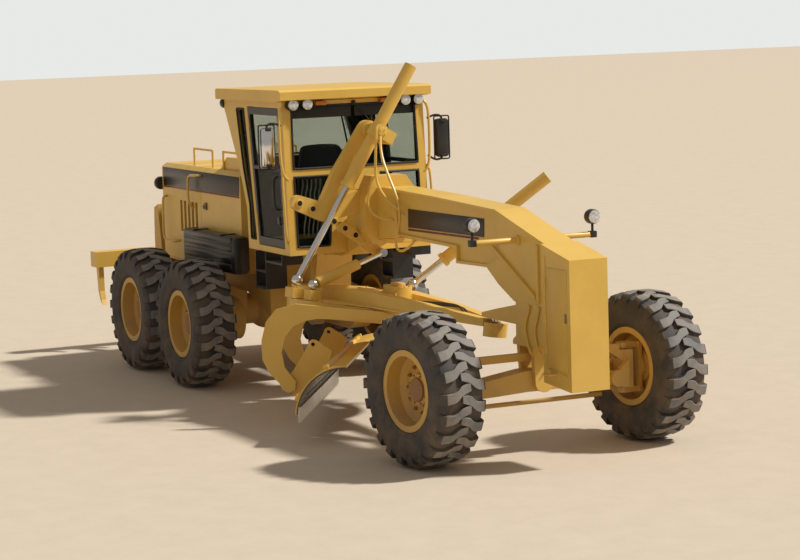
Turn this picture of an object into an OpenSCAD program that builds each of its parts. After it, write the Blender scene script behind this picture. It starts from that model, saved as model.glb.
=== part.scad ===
// Motor grader: articulated frame, six driven wheels, a blade under the frame and a rear ripper.
// x points forward from the front axle, y to the machine's left, z up from the ground.

/* [Chassis] */
// Distance from the front axle to the tandem pivot
wheelbase = 6170; // [6000:5:6300]
// Distance between the two wheels of a tandem
tandem_gap = 1523; // [1480:1:1560]
// Distance between the middle planes of left and right wheels
track = 2255; // [2200:5:2320]
// Distance from the front axle back to the frame's hinge
hitch_back = 4750; // [4720:1:4780]
// Where the origin lies, measured back from the front axle
origin_back = 3935; // [3900:1:3970]

/* [Wheels] */
// Outside diameter of a tyre over its lugs
tyre_d = 1350; // [1330:1:1370]
// Width of a tyre at its bulge
tyre_w = 445; // [430:1:455]
// Number of lugs on each side of a tyre
lug_count = 22; // [20:2:24]
// Height of a lug at the shoulder
lug_h = 42; // [20:1:50]
// Diameter of the rim's bead seat
bead_d = 635; // [630:1:640]
// Width of a rim over its flanges
rim_w = 364; // [350:1:370]
// Height of the rim's flange over its bead seat
flange_h = 38; // [30:1:42]
// Angle to which the front wheels are steered at rest
steer_rest = 7; // [0:1:8]

/* [Front frame] */
// Width of the main beam over its flanges
beam_w = 300; // [280:1:320]
// Depth of the recess in the beam's side
side_recess = 30; // [10:1:45]
// Width of the front box
box_w = 370; // [350:1:400]
// How far the front box reaches before the front axle
box_front = 950; // [930:1:990]

/* [Cab] */
// Width of the cab
cab_w = 1560; // [1520:5:1600]
// Height of the roof's top over the ground
roof_z = 3150; // [3140:1:3200]
// Width of the roof
roof_w = 1670; // [1640:5:1720]
// Thickness of the cab's walls and pillars
cab_wall = 60; // [50:1:70]
// Thickness of the glass
glass_t = 8; // [5:1:12]

/* [Hood] */
// Width of the engine hood
hood_w = 1200; // [1180:5:1230]
// Height of the hood's top over the ground
hood_z = 2235; // [2220:1:2260]
// Thickness of the hood's walls
hood_wall = 40; // [30:1:50]

/* [Blade] */
// Length of the blade
blade_l = 3658; // [3500:1:3700]
// Height of the blade with its edge, along the chord
blade_h = 686; // [660:1:700]
// Radius of the blade's curve
blade_r = 460; // [440:1:520]
// Thickness of the blade's plate
blade_t = 25; // [20:1:30]
// Outside diameter of the turning circle
circle_d = 1530; // [1500:2:1540]
// Angle of the circle at rest, from the blade set square to the drawbar
circle_turn = 52; // [48:1:56]
// Angle of the drawbar to the side at rest
drawbar_yaw = 8; // [6:1:10]
// Angle by which the drawbar's right side is lifted
drawbar_roll = 7; // [5:1:8]
// Angle by which the drawbar slopes down to the front
drawbar_pitch = 1.3; // [0.5:0.1:2]

/* [Cylinders] */
// Outside diameter of the lift cylinders
lift_d = 124; // [110:1:130]
// Diameter of the lift rods
lift_rod_d = 65; // [55:1:70]
// Length of a lift cylinder's barrel
lift_barrel_l = 1346; // [1330:2:1370]
// Outside diameter of the centre shift cylinder
shift_d = 104; // [95:1:110]
// Diameter of the centre shift rod
shift_rod_d = 50; // [45:1:55]

/* [Ripper] */
// Length of the ripper's beam
ripper_l = 2280; // [2250:5:2320]
// Number of shanks
shank_count = 5; // [3:2:5]

/* [Fits] */
// Gap beside a piece that turns or is seated
gap = 0.3; // [0.2:0.05:0.5]

/* [Hidden] */

$fn = 48;
yellow = [0.87, 0.66, 0.22];
shade = [0.55, 0.38, 0.2];
black = [0.07, 0.07, 0.08];
steel = [0.75, 0.76, 0.78];
glassy = [0.55, 0.65, 0.7, 0.4];

wheel_z = tyre_d / 2;
wheel_y = track / 2;
mid_x = -wheelbase + tandem_gap / 2;
rear_x = -wheelbase - tandem_gap / 2;
rim_r = bead_d / 2;
disc_in = 20;
hub_half = 60;
hub_r = 150;

// Front axle: its pivot, the pins on which the wheels lean, and the kingpins
axle_z = 640;
lean_y = 760;
lean_z = 600;
lean_bar_z = 860;
king_y = 880;
king_r = 32;
tie_at = [-210, 870, 414];

// Drawbar: its ball, the middle of the circle, and the sockets of the cylinders
circle_at = [-2900, -300, 1076];
ball_reach = 2171;
ball_drop = 6;
ball_r = 70;
lift_socket = [-196, 680, 170];
shift_socket = [40, -640, 150];
circle_r = circle_d / 2;
circle_top = -6;
circle_h = 90;
arm_y = 795;
arm_t = 50;
tip_at = [-590, -800];

// Blade: the arc's lower and upper ends in the circle's frame, seen from the side
blade_foot = [-400, -1000];
blade_lean = 38;
blade_half = asin(blade_h / 2 / blade_r);
blade_off = blade_r * cos(blade_half);
blade_mid = blade_foot + blade_h / 2 * [sin(blade_lean), cos(blade_lean)];
blade_centre = blade_mid + blade_off * [cos(blade_lean), -sin(blade_lean)];
blade_dir = 180 - blade_lean;

// Lift linkage: its plates' rear and front faces, then points seen from the front, as [y, z]
link_x0 = -3100;
link_x1 = -3020;
lift_pin_right = [-2860, -145, 2738];
lift_pin_left = [-2823, 1066, 1768];
lift_above = 613;
link_end = [-910, 2075];
link_pin = [-70, 1540];
shift_pin = [-2950, link_pin[0], link_pin[1]];

// Cab corners seen from the side, as [x, z]
cab_base_z = 1500;
roof_t = 120;
cab_side = [[-3600, cab_base_z], [-3690, roof_z - roof_t], [-5290, roof_z - roof_t], [-4870, 2330],
    [-4700, 1920], [-4680, cab_base_z]];

// Hood corners along the machine
hood_front = -5320;
hood_rear = -7700;
hood_base_z = 1180;

module place() translate([origin_back, 0, 0]) children();

module side_plate(y0, y1, points) {
    translate([0, y1, 0]) rotate([90, 0, 0]) linear_extrude(y1 - y0) polygon(points);
}

module front_plate(x0, x1) {
    translate([x0, 0, 0]) rotate([90, 0, 90]) linear_extrude(x1 - x0) children();
}

module box(x0, x1, y0, y1, z0, z1) translate([x0, y0, z0]) cube([x1 - x0, y1 - y0, z1 - z0]);

module pin_x(x0, x1, y, z, r) translate([x0, y, z]) rotate([0, 90, 0]) cylinder(h = x1 - x0, r = r);
module pin_y(x, y0, y1, z, r) translate([x, y0, z]) rotate([-90, 0, 0]) cylinder(h = y1 - y0, r = r);
module pin_z(x, y, z0, z1, r) translate([x, y, z0]) cylinder(h = z1 - z0, r = r);

// A round bar from one point to another
module rod(a, b, r) {
    d = b - a;
    translate(a) rotate([0, acos(d[2] / norm(d)), atan2(d[1], d[0])]) cylinder(h = norm(d), r = r);
}

// A flat bar with round ends between two points of a plane
module bar2d(a, ra, b, rb) {
    hull() {
        translate(a) circle(r = ra, $fn = 32);
        translate(b) circle(r = rb, $fn = 32);
    }
}

module both_sides() {
    children();
    mirror([0, 1, 0]) children();
}

// Frames that the moving assemblies are drawn in
module at_drawbar() {
    translate(circle_at) rotate([0, 0, drawbar_yaw]) rotate([0, drawbar_pitch, 0])
        rotate([-drawbar_roll, 0, 0]) children();
}
module at_circle() at_drawbar() rotate([0, 0, circle_turn]) children();
function turn_z(p, a) = [p[0] * cos(a) - p[1] * sin(a), p[0] * sin(a) + p[1] * cos(a), p[2]];
function turn_y(p, a) = [p[0] * cos(a) + p[2] * sin(a), p[1], -p[0] * sin(a) + p[2] * cos(a)];
function turn_x(p, a) = [p[0], p[1] * cos(a) - p[2] * sin(a), p[1] * sin(a) + p[2] * cos(a)];
function from_drawbar(p) =
    circle_at + turn_z(turn_y(turn_x(p, -drawbar_roll), drawbar_pitch), drawbar_yaw);

ball = from_drawbar([ball_reach, 0, -ball_drop]);

// Tyre: rings of points round the wheel's axis, joined by faces. A ring has two points for each
// lug, and the shoulder rings have four: the lug's two edges at the top, and two in the groove.
pitch = 360 / lug_count;
function on_ring(a, r, y) = [r * cos(a), y, r * sin(a)];
function plain_ring(r, y) = [for (i = [0:2 * lug_count - 1]) on_ring(i * pitch / 2, r, y)];
function lug_ring(first, hi, lo, y) = [for (i = [0:lug_count - 1])
    each [for (s = [[0, hi], [0.46, hi], [0.56, lo], [0.9, lo]]) on_ring(first + (i + s[0]) * pitch, s[1], y)]];
function join_plain(a, b) = [for (i = [0:2 * lug_count - 1]) let (j = (i + 1) % (2 * lug_count))
    each [[a + i, b + i, b + j], [a + i, b + j, a + j]]];
function join_lugs(a, b, shift) = [for (i = [0:lug_count - 1])
    let (n = 2 * lug_count, a0 = a + (2 * i + shift) % n, a1 = a + (2 * i + 1 + shift) % n,
        a2 = a + (2 * i + 2 + shift) % n, b0 = b + 4 * i, b4 = b + (4 * i + 4) % (4 * lug_count))
    each [[a0, b0, b0 + 1], [a0, b0 + 1, a1], [a1, b0 + 1, b0 + 2], [a1, b0 + 2, b0 + 3],
        [a1, b0 + 3, a2], [a2, b0 + 3, b4]]];
function turned(faces) = [for (f = faces) [f[0], f[2], f[1]]];

module tyre() {
    n = 2 * lug_count;
    bead = rim_r + 1.2;
    bead_y = rim_w / 2 - 32;
    bulge_r = rim_r + 165;
    shoulder_y = tyre_w / 2 - 14;
    top = tyre_d / 2 - 20;
    sweep = 0.5 * pitch;
    points = concat(plain_ring(bead, -bead_y), plain_ring(bulge_r, -tyre_w / 2),
        lug_ring(sweep, top, top - lug_h, -shoulder_y), plain_ring(tyre_d / 2, 0),
        lug_ring(sweep + pitch / 2, top, top - lug_h, shoulder_y), plain_ring(bulge_r, tyre_w / 2),
        plain_ring(bead, bead_y));
    faces = concat(join_plain(0, n), join_lugs(n, 2 * n, 1), turned(join_lugs(4 * n, 2 * n, 1)),
        join_lugs(4 * n, 5 * n, 2), turned(join_lugs(7 * n, 5 * n, 2)), join_plain(7 * n, 8 * n),
        join_plain(8 * n, 0));
    polyhedron(points, turned(faces));
}

// Rim with its barrel, flanges, set-in disc and hub, the outer face towards +y
module rim() {
    half = rim_w / 2;
    rotate([-90, 0, 0]) rotate_extrude($fn = 96) polygon([[hub_r, -hub_half], [hub_r, -disc_in - 12],
        [rim_r - 15, -disc_in - 12], [rim_r - 15, -half], [rim_r + flange_h, -half],
        [rim_r + flange_h, -half + 14], [rim_r, -half + 14], [rim_r, half - 14],
        [rim_r + flange_h, half - 14], [rim_r + flange_h, half], [rim_r - 15, half],
        [rim_r - 15, disc_in - 12 + 40], [rim_r - 60, disc_in - 12], [hub_r, disc_in - 12],
        [hub_r - 12, hub_half], [0, hub_half], [0, -hub_half]]);
}

module at_wheel(x, side) translate([x, side * wheel_y, wheel_z]) mirror([0, side < 0 ? 1 : 0, 0]) children();
module steered(side) {
    translate([0, side * king_y, 0]) rotate([0, 0, steer_rest]) translate([0, -side * king_y, 0]) children();
}

module rim_mid_right() color(yellow) place() at_wheel(mid_x, -1) rim();
module rim_mid_left() color(yellow) place() at_wheel(mid_x, 1) rim();
module rim_rear_right() color(yellow) place() at_wheel(rear_x, -1) rim();
module rim_rear_left() color(yellow) place() at_wheel(rear_x, 1) rim();
module rim_front_right() color(yellow) place() steered(-1) at_wheel(0, -1) rim();
module rim_front_left() color(yellow) place() steered(1) at_wheel(0, 1) rim();
module tyre_mid_right() color(black) place() at_wheel(mid_x, -1) tyre();
module tyre_mid_left() color(black) place() at_wheel(mid_x, 1) tyre();
module tyre_rear_right() color(black) place() at_wheel(rear_x, -1) tyre();
module tyre_rear_left() color(black) place() at_wheel(rear_x, 1) tyre();
module tyre_front_right() color(black) place() steered(-1) at_wheel(0, -1) tyre();
module tyre_front_left() color(black) place() steered(1) at_wheel(0, 1) tyre();

// Tandem case, its pivot boss on the inside and a spindle for each wheel
tandem_in = 640;
tandem_out = 850;
module tandem() {
    difference() {
        union() {
            translate([0, tandem_out, 0]) rotate([90, 0, 0]) linear_extrude(tandem_out - tandem_in)
                translate([-wheelbase, wheel_z]) union() {
                    polygon([[-tandem_gap / 2, -215], [tandem_gap / 2, -215], [tandem_gap / 2, 215],
                        [230, 270], [-230, 270], [-tandem_gap / 2, 215]]);
                    for (x = [-tandem_gap / 2, tandem_gap / 2]) translate([x, 0]) circle(r = 214);
                }
            for (x = [mid_x, rear_x]) pin_y(x, tandem_out - 10, wheel_y - hub_half - gap, wheel_z, 120);
            pin_y(-wheelbase, 600 + gap, tandem_in + 10, wheel_z, 250);
        }
        for (x = [mid_x, rear_x]) pin_y(x, tandem_in - 5, tandem_in + 15, wheel_z, 120);
    }
}
module tandem_right() color(shade) place() mirror([0, 1, 0]) tandem();
module tandem_left() color(shade) place() tandem();

// Rear frame: rails, deck, axle tube, hitch tongues, ripper lugs and the guard at the back
rail_bottom = 930;
hitch_low = 900;
hitch_high = 1370;
lug_t = 80;
hitch_pin_r = 60;
ripper_at = [-7860, 600];
module rear_frame() color(shade) place() {
    difference() {
        union() {
            both_sides() box(-7920, -5020, 300, 430, rail_bottom, 1150);
            box(-7700, -5020, -430, 430, 1100, hood_base_z - 30);
            box(hood_rear, hood_front, -hood_w / 2, hood_w / 2, hood_base_z - 30, hood_base_z);
            box(-5080, -5000, -430, 430, 720, 1440);
            both_sides() side_plate(380, 430, [[-5700, rail_bottom + 20], [-5700, 1140], [-5310, 1140],
                [-5060, 1400], [-5060, 730]]);
            for (z = [hitch_low + lug_t + gap, hitch_high - lug_t - gap]) {
                box(-5010, -hitch_back, -160, 160, z, z + lug_t);
                pin_z(-hitch_back, 0, z, z + lug_t, 160);
            }
            both_sides() box(-wheelbase - 210, -wheelbase + 210, 310, 530, 700, rail_bottom + 30);
            side_plate(-600, 600, concat([[-7700, 1160], [-7700, 900], [-8000, 900]],
                [for (a = [0:15:60]) [-8000 - 40 * cos(a), 1250 + 520 * sin(a)]],
                [[-7900, 1745], [-7860, 1500], [-7800, 1160]]));
        }
        pin_z(-hitch_back, 0, 600, 1500, hitch_pin_r + gap);
    }
    // Axle housing between the tandems
    pin_y(-wheelbase, -560, 560, wheel_z, 170);
    both_sides() pin_y(-wheelbase, 540, 600, wheel_z, 250);
    translate([-wheelbase, 0, wheel_z]) sphere(r = 235);
    // Tow hitch: two plates with a bore for the tow pin
    difference() {
        for (z = [920, 1000]) box(-8170, -7990, -90, 90, z, z + 20);
        pin_z(-8110, 0, 900, 1040, 21);
    }
    // Lugs on which the ripper swings, with their pins
    both_sides() for (y = [330, 405]) side_plate(y, y + 25, [[-7920, 940], [-7920, 560], [-7880, 540],
        [-7830, 540], [-7760, 700], [-7740, 940]]);
    both_sides() pin_y(ripper_at[0], 330, 430, ripper_at[1], 25);
}

module engine() color(black) place() {
    box(-7000, -5600, -340, 340, 1260, 1980);
    box(-6900, -5700, -250, 250, hood_base_z, 1270);
}

door_x0 = -6500;
door_x1 = -5450;
door_z0 = 1620;
door_z1 = 2010;
module engine_hood() color(yellow) place() difference() {
    w = hood_w / 2;
    union() {
        front_plate(hood_rear, hood_front) polygon([[-w, hood_base_z], [w, hood_base_z], [w, hood_z - 40],
            [w - 60, hood_z], [-w + 60, hood_z], [-w, hood_z - 40]]);
        side_plate(-w + 110, w - 110, [[hood_front, hood_z - 100], [hood_front, hood_z + 135],
            [-5950, hood_z + 135], [-6150, hood_z - 5], [-6150, hood_z - 100]]);
        // Handrails along both edges of the top
        both_sides() for (x = [-6900, -6020]) {
            for (e = [x, x + 560]) pin_z(e, w - 100, hood_z - 60, hood_z + 190, 13);
            pin_x_rail(x, x + 560, w - 100, hood_z + 190, 13);
        }
    }
    front_plate(hood_rear + hood_wall, hood_front - hood_wall) polygon([[-w + hood_wall, hood_base_z - 1],
        [w - hood_wall, hood_base_z - 1], [w - hood_wall, hood_z - 60], [w - 70, hood_z - hood_wall],
        [-w + 70, hood_z - hood_wall], [-w + hood_wall, hood_z - 60]]);
    both_sides() box(door_x0 - gap, door_x1 + gap, w - hood_wall - 1, w + 1, door_z0 - gap, door_z1 + gap);
    both_sides() for (i = [0:4]) box(-7150 + i * 118, -7080 + i * 118, w - hood_wall - 1, w + 1, 1490, 1840);
    box(hood_rear - 1, hood_rear + hood_wall + 1, -460 - gap, 460 + gap, 1300 - gap, 2100 + gap);
}
module pin_x_rail(x0, x1, y, z, r) {
    pin_x(x0, x1, y, z, r);
    for (x = [x0, x1]) translate([x, y, z]) sphere(r = r);
}

// Grille in the hood's rear face: a rim and upright bars
module radiator_grille() color(black) place() difference() {
    box(hood_rear, hood_rear + 30, -460, 460, 1300, 2100);
    for (i = [0:8]) box(hood_rear - 1, hood_rear + 31, -430 + i * 97, -430 + i * 97 + 84, 1330, 2070);
}

// Ribbed tank on each side of the frame, ahead of the middle wheels
module side_tanks() color(black) place() both_sides() difference() {
    side_plate(hood_w / 2 + gap, 800, [[-6650, 1210], [-6600, 1160], [-5120, 1160], [-5060, 1220],
        [-5060, 1560], [-5090, 1585], [-6620, 1585], [-6650, 1555]]);
    for (z = [1270, 1370, 1470]) box(-6560, -5150, 785, 801, z, z + 45);
}

module hood_door() difference() {
    box(door_x0, door_x1, hood_w / 2 - hood_wall + 5, hood_w / 2 - 2, door_z0, door_z1);
    box(door_x0 + 130, door_x0 + 210, hood_w / 2 - 14, hood_w / 2, 1780, 1860);
}
module hood_door_right() color(yellow) place() mirror([0, 1, 0]) hood_door();
module hood_door_left() color(yellow) place() hood_door();

// Front frame: beam with recessed sides, nose, bolster, tunnel under the cab and hitch lugs
beam_top = [[-4000, 1560], [-3740, 1700], [-3400, 2060], [-3150, 2170], [-2700, 2200], [-1700, 2178],
    [-420, 2130], [470, 1893]];
beam_low = [[470, 1350], [-98, 1342], [-386, 1467], [-603, 1600], [-1205, 1586], [-1215, 1725],
    [-2480, 1742], [-3150, 1640], [-3740, 1450], [-4100, 1440]];
module front_frame() color(yellow) place() difference() {
    h = beam_w / 2;
    union() {
        side_plate(-h, h, concat(beam_top, beam_low, [[-4100, 1490]]));
        // Vertical flange at the nose
        box(445, 470, -h - 20, h + 20, 1350, 1893);
        // Deep end with the hinge's lugs
        side_plate(-200, 200, [[-4420, 1480], [-4000, 1480], [-4000, 1440], [-4250, 1440], [-4330, 1150],
            [-4330, hitch_low], [-4420, hitch_low]]);
        box(-4420, -4340, -210, 210, hitch_low, cab_base_z - gap);
        for (z = [hitch_low, hitch_high]) {
            box(-hitch_back, -4400, -150, 150, z, z + lug_t);
            pin_z(-hitch_back, 0, z, z + lug_t, 150);
        }
        // Hinge pins, fixed in the lugs
        pin_z(-hitch_back, 0, hitch_low + lug_t - 5, hitch_low + 2 * lug_t + 15, hitch_pin_r);
        pin_z(-hitch_back, 0, hitch_high - lug_t - 15, hitch_high + 5, hitch_pin_r);
        // Bolster over the front axle, with the bracket that holds the drawbar's ball
        side_plate(5 - h, h - 5, [[-80, 1400], [-90, 1040], [-150, 1000], [-150, 960], [150, 960],
            [400, 1000], [440, 1400]]);
        side_plate(-90, 90, [[-840, 1125], [-840, 1165], [-560, 1225], [-70, 1320], [-70, 1125]]);
        // Ears for the axle's pin
        for (x = [-150, 100]) front_plate(x, x + 50) difference() {
            union() {
                polygon([[-110, 990], [110, 990], [90, axle_z], [-90, axle_z]]);
                translate([0, axle_z]) circle(r = 90);
            }
            translate([0, axle_z]) circle(r = 44);
        }
        pin_x(-150, 150, 0, axle_z, 45);
    }
    both_sides() translate([0, h - side_recess, 0]) beam_recess();
}
module beam_recess() {
    side_plate(0, side_recess + 30, [[-2440, 1770], [-1190, 1752], [-1180, 1612], [-600, 1626],
        [-330, 1700], [-430, 2104], [-1700, 2156], [-2440, 2168]]);
}

// Box before the nose, with a door panel on each side
module front_box() color(yellow) place() difference() {
    side_plate(-box_w / 2, box_w / 2, [[470 + gap, 1893], [box_front, 1790], [box_front, 665],
        [470 + gap, 700]]);
    both_sides() side_plate(box_w / 2 - 6, box_w / 2 + 1, [[525, 1800], [900, 1720], [900, 800], [525, 830]]);
}

// Cab: walls round a hollow, with the openings for glass and doors cut through
door_edge = [[-3725, 1560], [-3790, 2970], [-4600, 2970], [-4400, 1560]];
side_window = [[-4460, 1600], [-4680, 2950], [-4900, 2950], [-4760, 2330], [-4620, 1960], [-4610, 1600]];
side_pane = [[-4460.6, 1600.4], [-4680.5, 2949.6], [-4899.2, 2949.6], [-4759.2, 2330.2], [-4619.2, 1960.2],
    [-4609.3, 1600.4]];
function inset_x(points, c, s) = [for (p = points) [c[0] + (p[0] - c[0]) * s, c[1] + (p[1] - c[1]) * s]];
// Line on which a door turns, with the two hinge barrels on it
hinge_foot = [-4400, cab_w / 2 - 2, 1600];
hinge_line = [-0.2, 0, 1.41];
module door_hinges(r, past = 0) for (k = [130, 820])
    rod(hinge_foot + (k - past) * hinge_line, hinge_foot + (k + 65 + past) * hinge_line, r);
module cab_frame() color(yellow) place() {
    difference() {
        w = cab_w / 2;
        t = cab_wall;
        side_plate(-w, w, cab_side);
        side_plate(-w + t, w - t, [[-3600 - t, cab_base_z + t], [-3690 - t, roof_z - roof_t + 1],
            [-5290 + 1.3 * t, roof_z - roof_t + 1], [-4870 + t, 2330], [-4700 + t, 1920], [-4680 + t, cab_base_z + t]]);
        front_window_cut();
        rear_window_cut();
        both_sides() side_plate(w - t - 1, w + 1, side_window);
        both_sides() side_plate(w - t - 1, w + 1, door_edge);
        side_plate(-beam_w / 2 - gap, beam_w / 2 + gap, [[-3400, 1400], [-3400, 2062], [-3740, 1702],
            [-4001, 1562], [-4101, 1492], [-4101, 1400]]);
    }
    both_sides() door_hinges(14);
}
module front_window_cut() {
    front_plate(-3800, -3500) {
        polygon([[-700, 2350], [700, 2350], [690, 2990], [-690, 2990]]);
        for (s = [-1, 1]) polygon([[s * 700, 1570], [s * 700, 2290], [s * 250, 2290], [s * 330, 1570]]);
    }
}
module rear_window_cut() box(-5400, -4700, -560, 560, 2420, 2960);

module cab_roof() color(yellow) place() difference() {
    w = roof_w / 2;
    side_plate(-w, w, [[-3594, roof_z - 100], [-3594, roof_z - 20], [-3640, roof_z], [-5320, roof_z - 10],
        [-5336, roof_z - 30], [-5336, roof_z - roof_t + gap], [-3720, roof_z - roof_t + gap]]);
    side_plate(-w + 140, w - 140, [[-3900, roof_z - roof_t - 1], [-3900, roof_z - 60], [-5150, roof_z - 60],
        [-5150, roof_z - roof_t - 1]]);
}

// Panes that fill the cab's fixed openings
module cab_glass() color(glassy) place() {
    intersection() {
        front_window_cut_small();
        side_plate(-900, 900, [[-3630, cab_base_z], [-3720, roof_z], [-3720 - glass_t, roof_z],
            [-3630 - glass_t, cab_base_z]]);
    }
    intersection() {
        box(-5400, -4700, -560 + gap, 560 - gap, 2420 + gap, 2960 - gap);
        side_plate(-900, 900, [[-4880, 2250], [-5300, 3030], [-5270, 3030], [-4850, 2250]]);
    }
    both_sides() side_plate(cab_w / 2 - 30, cab_w / 2 - 30 + glass_t, side_pane);
}
module front_window_cut_small() {
    g = gap;
    front_plate(-3800, -3500) {
        polygon([[-700 + g, 2350 + g], [700 - g, 2350 + g], [690 - g, 2990 - g], [-690 + g, 2990 - g]]);
        for (s = [-1, 1]) polygon([[s * (700 - g), 1570 + g], [s * (700 - g), 2290 - g],
            [s * (250 + g), 2290 - g], [s * (330 + g), 1570 + g]]);
    }
}

module cab_door() difference() {
    side_plate(cab_w / 2 - 48, cab_w / 2 - 2, inset_x(door_edge, [-4120, 2300], 0.99));
    side_plate(cab_w / 2 - 60, cab_w / 2 + 1, inset_x(door_edge, [-4120, 2300], 0.88));
    door_hinges(14 + gap, 1);
}
module cab_door_right() color(black) place() mirror([0, 1, 0]) cab_door();
module cab_door_left() color(black) place() cab_door();
module door_pane() side_plate(cab_w / 2 - 28, cab_w / 2 - 28 + glass_t, inset_x(door_edge, [-4120, 2300], 0.879));
module door_glass_right() color(glassy) place() mirror([0, 1, 0]) door_pane();
module door_glass_left() color(glassy) place() door_pane();

module seat() color(black) place() {
    pin_z(-4380, 0, cab_base_z + cab_wall, 1880, 90);
    side_plate(-250, 250, [[-4590, 1875], [-4100, 1885], [-4080, 1940], [-4100, 1990], [-4490, 1975],
        [-4610, 2560], [-4690, 2560], [-4710, 2520]]);
}

module console() color(black) place() {
    difference() {
        box(-3950, -3830, -200, 200, cab_base_z + cab_wall, 1760);
        box(-3960, -3820, -155, 155, cab_base_z, 1725);
    }
    side_plate(-90, 90, [[-3950, 1750], [-3830, 1750], [-3860, 2180], [-3950, 2200]]);
    translate([-3990, 0, 2230]) rotate([0, -30, 0]) {
        rotate_extrude() translate([190, 0]) circle(r = 14);
        translate([0, 0, -60]) cylinder(h = 70, r = 35);
        for (a = [90, 210, 330]) rotate([0, 0, a]) box(0, 185, -12, 12, -8, 4);
    }
}

// Black steps below each door
module steps() color(black) place() both_sides() {
    for (x = [-4400, -4140]) box(x, x + 12, 600, 830, 1120, cab_base_z - gap);
    for (z = [1120, 1290]) box(-4390, -4130, 600, 830, z, z + 22);
    box(-4140, -3700, 600, 830, 1400, 1422);
    box(-3712, -3700, 600, 830, 1400, cab_base_z - gap);
}

module front_lamps() color(black) place() both_sides() {
    pin_y(0, beam_w / 2 + gap, 620, 1890, 24);
    pin_z(0, 600, 1880, 2000, 14);
    pin_x(-40, 50, 600, 2047, 62);
}

// Mirrors on arms from the front pillars
module mirrors() color(black) place() both_sides() {
    pin_y(-3730, cab_w / 2 + gap, cab_w / 2 + 200, 2900, 15);
    box(-3745, -3640, cab_w / 2 + 175, cab_w / 2 + 205, 2885, 2915);
    pin_z(-3655, cab_w / 2 + 190, 2350, 2900, 13);
    box(-3665, -3620, cab_w / 2 + 90, cab_w / 2 + 260, 2370, 2800);
}

// Linkage that carries the cylinders: saddle, an arm for each lift cylinder, and the link bar
module lift_linkage() color(yellow) place() {
    difference() {
        union() {
            front_plate(-3110, -2860) polygon([[-280, 1760], [-280, 2090], [-170, 2300], [170, 2300],
                [290, 2130], [290, 1760], [210, 1639], [-210, 1639]]);
            front_plate(link_x0, link_x1) {
                bar2d(link_end, 75, [-640, 1965], 90);
                bar2d([-640, 1965], 90, [-430, 2295], 125);
                bar2d([-430, 2295], 125, [lift_pin_right[1], lift_pin_right[2]], 105);
                bar2d([-640, 1965], 90, [-250, 2060], 110);
                bar2d([250, 2060], 110, [640, 1960], 125);
                bar2d([640, 1960], 125, [lift_pin_left[1], lift_pin_left[2]], 105);
                bar2d([-450, 1810], 50, link_pin, 48);
            }
        }
        side_plate(-beam_w / 2 - gap, beam_w / 2 + gap, [[-3150, 2170.3], [-2700, 2200.3], [-2480, 1734.7],
            [-3150, 1639.7]]);
    }
    lift_yoke(lift_pin_right, right_eye, 1);
    lift_yoke(lift_pin_left, left_eye, -1);
    pin_x(link_x1 - 1, shift_pin[0] - 53, link_pin[0], link_pin[1], 34);
}

// Fork that holds a lift cylinder by its trunnions
module lift_yoke(pin, eye, side) {
    d = unit(pin - eye);
    turn = atan2(d[2], d[1]);
    translate(pin) rotate([turn - 90, 0, 0]) {
        for (x = [[link_x1 - pin[0] - 1, -110], [110, 142]]) difference() {
            union() {
                pin_x(x[0], x[1], 0, 0, 75);
                box(x[0], x[1], side > 0 ? 0 : -155, side > 0 ? 155 : 0, -60, 60);
            }
            pin_x(x[0] - 1, x[1] + 1, 0, 0, 30 + gap);
        }
        box(link_x1 - pin[0] - 1, 142, side > 0 ? 125 : -155, side > 0 ? 155 : -125, -60, 60);
    }
}

// Front axle beam, hung on the bolster's pin
module front_axle() color(yellow) place() front_plate(-95, 95) difference() {
    union() {
        polygon([[-lean_y, 540], [-480, 545], [-150, 560], [150, 560], [480, 545], [lean_y, 540],
            [lean_y, 660], [150, 745], [-150, 745], [-lean_y, 660]]);
        for (y = [-lean_y, lean_y]) translate([y, lean_z]) circle(r = 60);
    }
    for (y = [-lean_y, lean_y]) translate([y, lean_z]) circle(r = 30 + gap);
    translate([0, axle_z]) circle(r = 45 + gap);
}

// Bracket that leans on the beam's end and holds the kingpin
module lean_bracket() {
    difference() {
        union() {
            for (x = [-150, 100]) front_plate(x, x + 50) union() {
                translate([lean_y, lean_z]) circle(r = 75);
                polygon([[lean_y, 530], [865, 510], [865, 760], [lean_y + 20, 690]]);
            }
            box(-110, 110, 840, 925, 505, 845);
        }
        pin_z(0, king_y, 500, 850, king_r + gap);
    }
    pin_x(-150, 150, lean_y, lean_z, 30);
    for (x = [-75, 45]) front_plate(x, x + 30) polygon([[715, 830], [850, 740], [850, 840], [812, 845],
        [805, 900], [715, 900]]);
    pin_x(-75, 75, lean_y, lean_bar_z, 20);
}
module lean_bracket_right() color(yellow) place() mirror([0, 1, 0]) lean_bracket();
module lean_bracket_left() color(yellow) place() lean_bracket();

module lean_bar() color(yellow) place() front_plate(-35, 35) difference() {
    union() {
        polygon([[-lean_y, lean_bar_z - 32], [lean_y, lean_bar_z - 32], [lean_y, lean_bar_z + 32],
            [-lean_y, lean_bar_z + 32]]);
        for (y = [-lean_y, lean_y]) translate([y, lean_bar_z]) circle(r = 38);
    }
    for (y = [-lean_y, lean_y]) translate([y, lean_bar_z]) circle(r = 20 + gap);
}

// Knuckle round the kingpin, with the wheel's spindle and the steering arm
module knuckle() {
    pin_z(0, king_y, 450, 900, king_r);
    for (z = [450, 850]) {
        pin_z(0, king_y, z, z + 50, 58);
        box(-58, 58, king_y, 1020, z, z + 50);
    }
    box(-80, 80, 1005, 1042, 450, 900);
    pin_y(0, 1030, wheel_y - hub_half - gap, wheel_z, 110);
    box(tie_at[0] - 30, -30, 845, 900, 455, 495);
}
module knuckle_right() color(yellow) place() steered(-1) mirror([0, 1, 0]) knuckle();
module knuckle_left() color(yellow) place() steered(1) knuckle();

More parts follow.
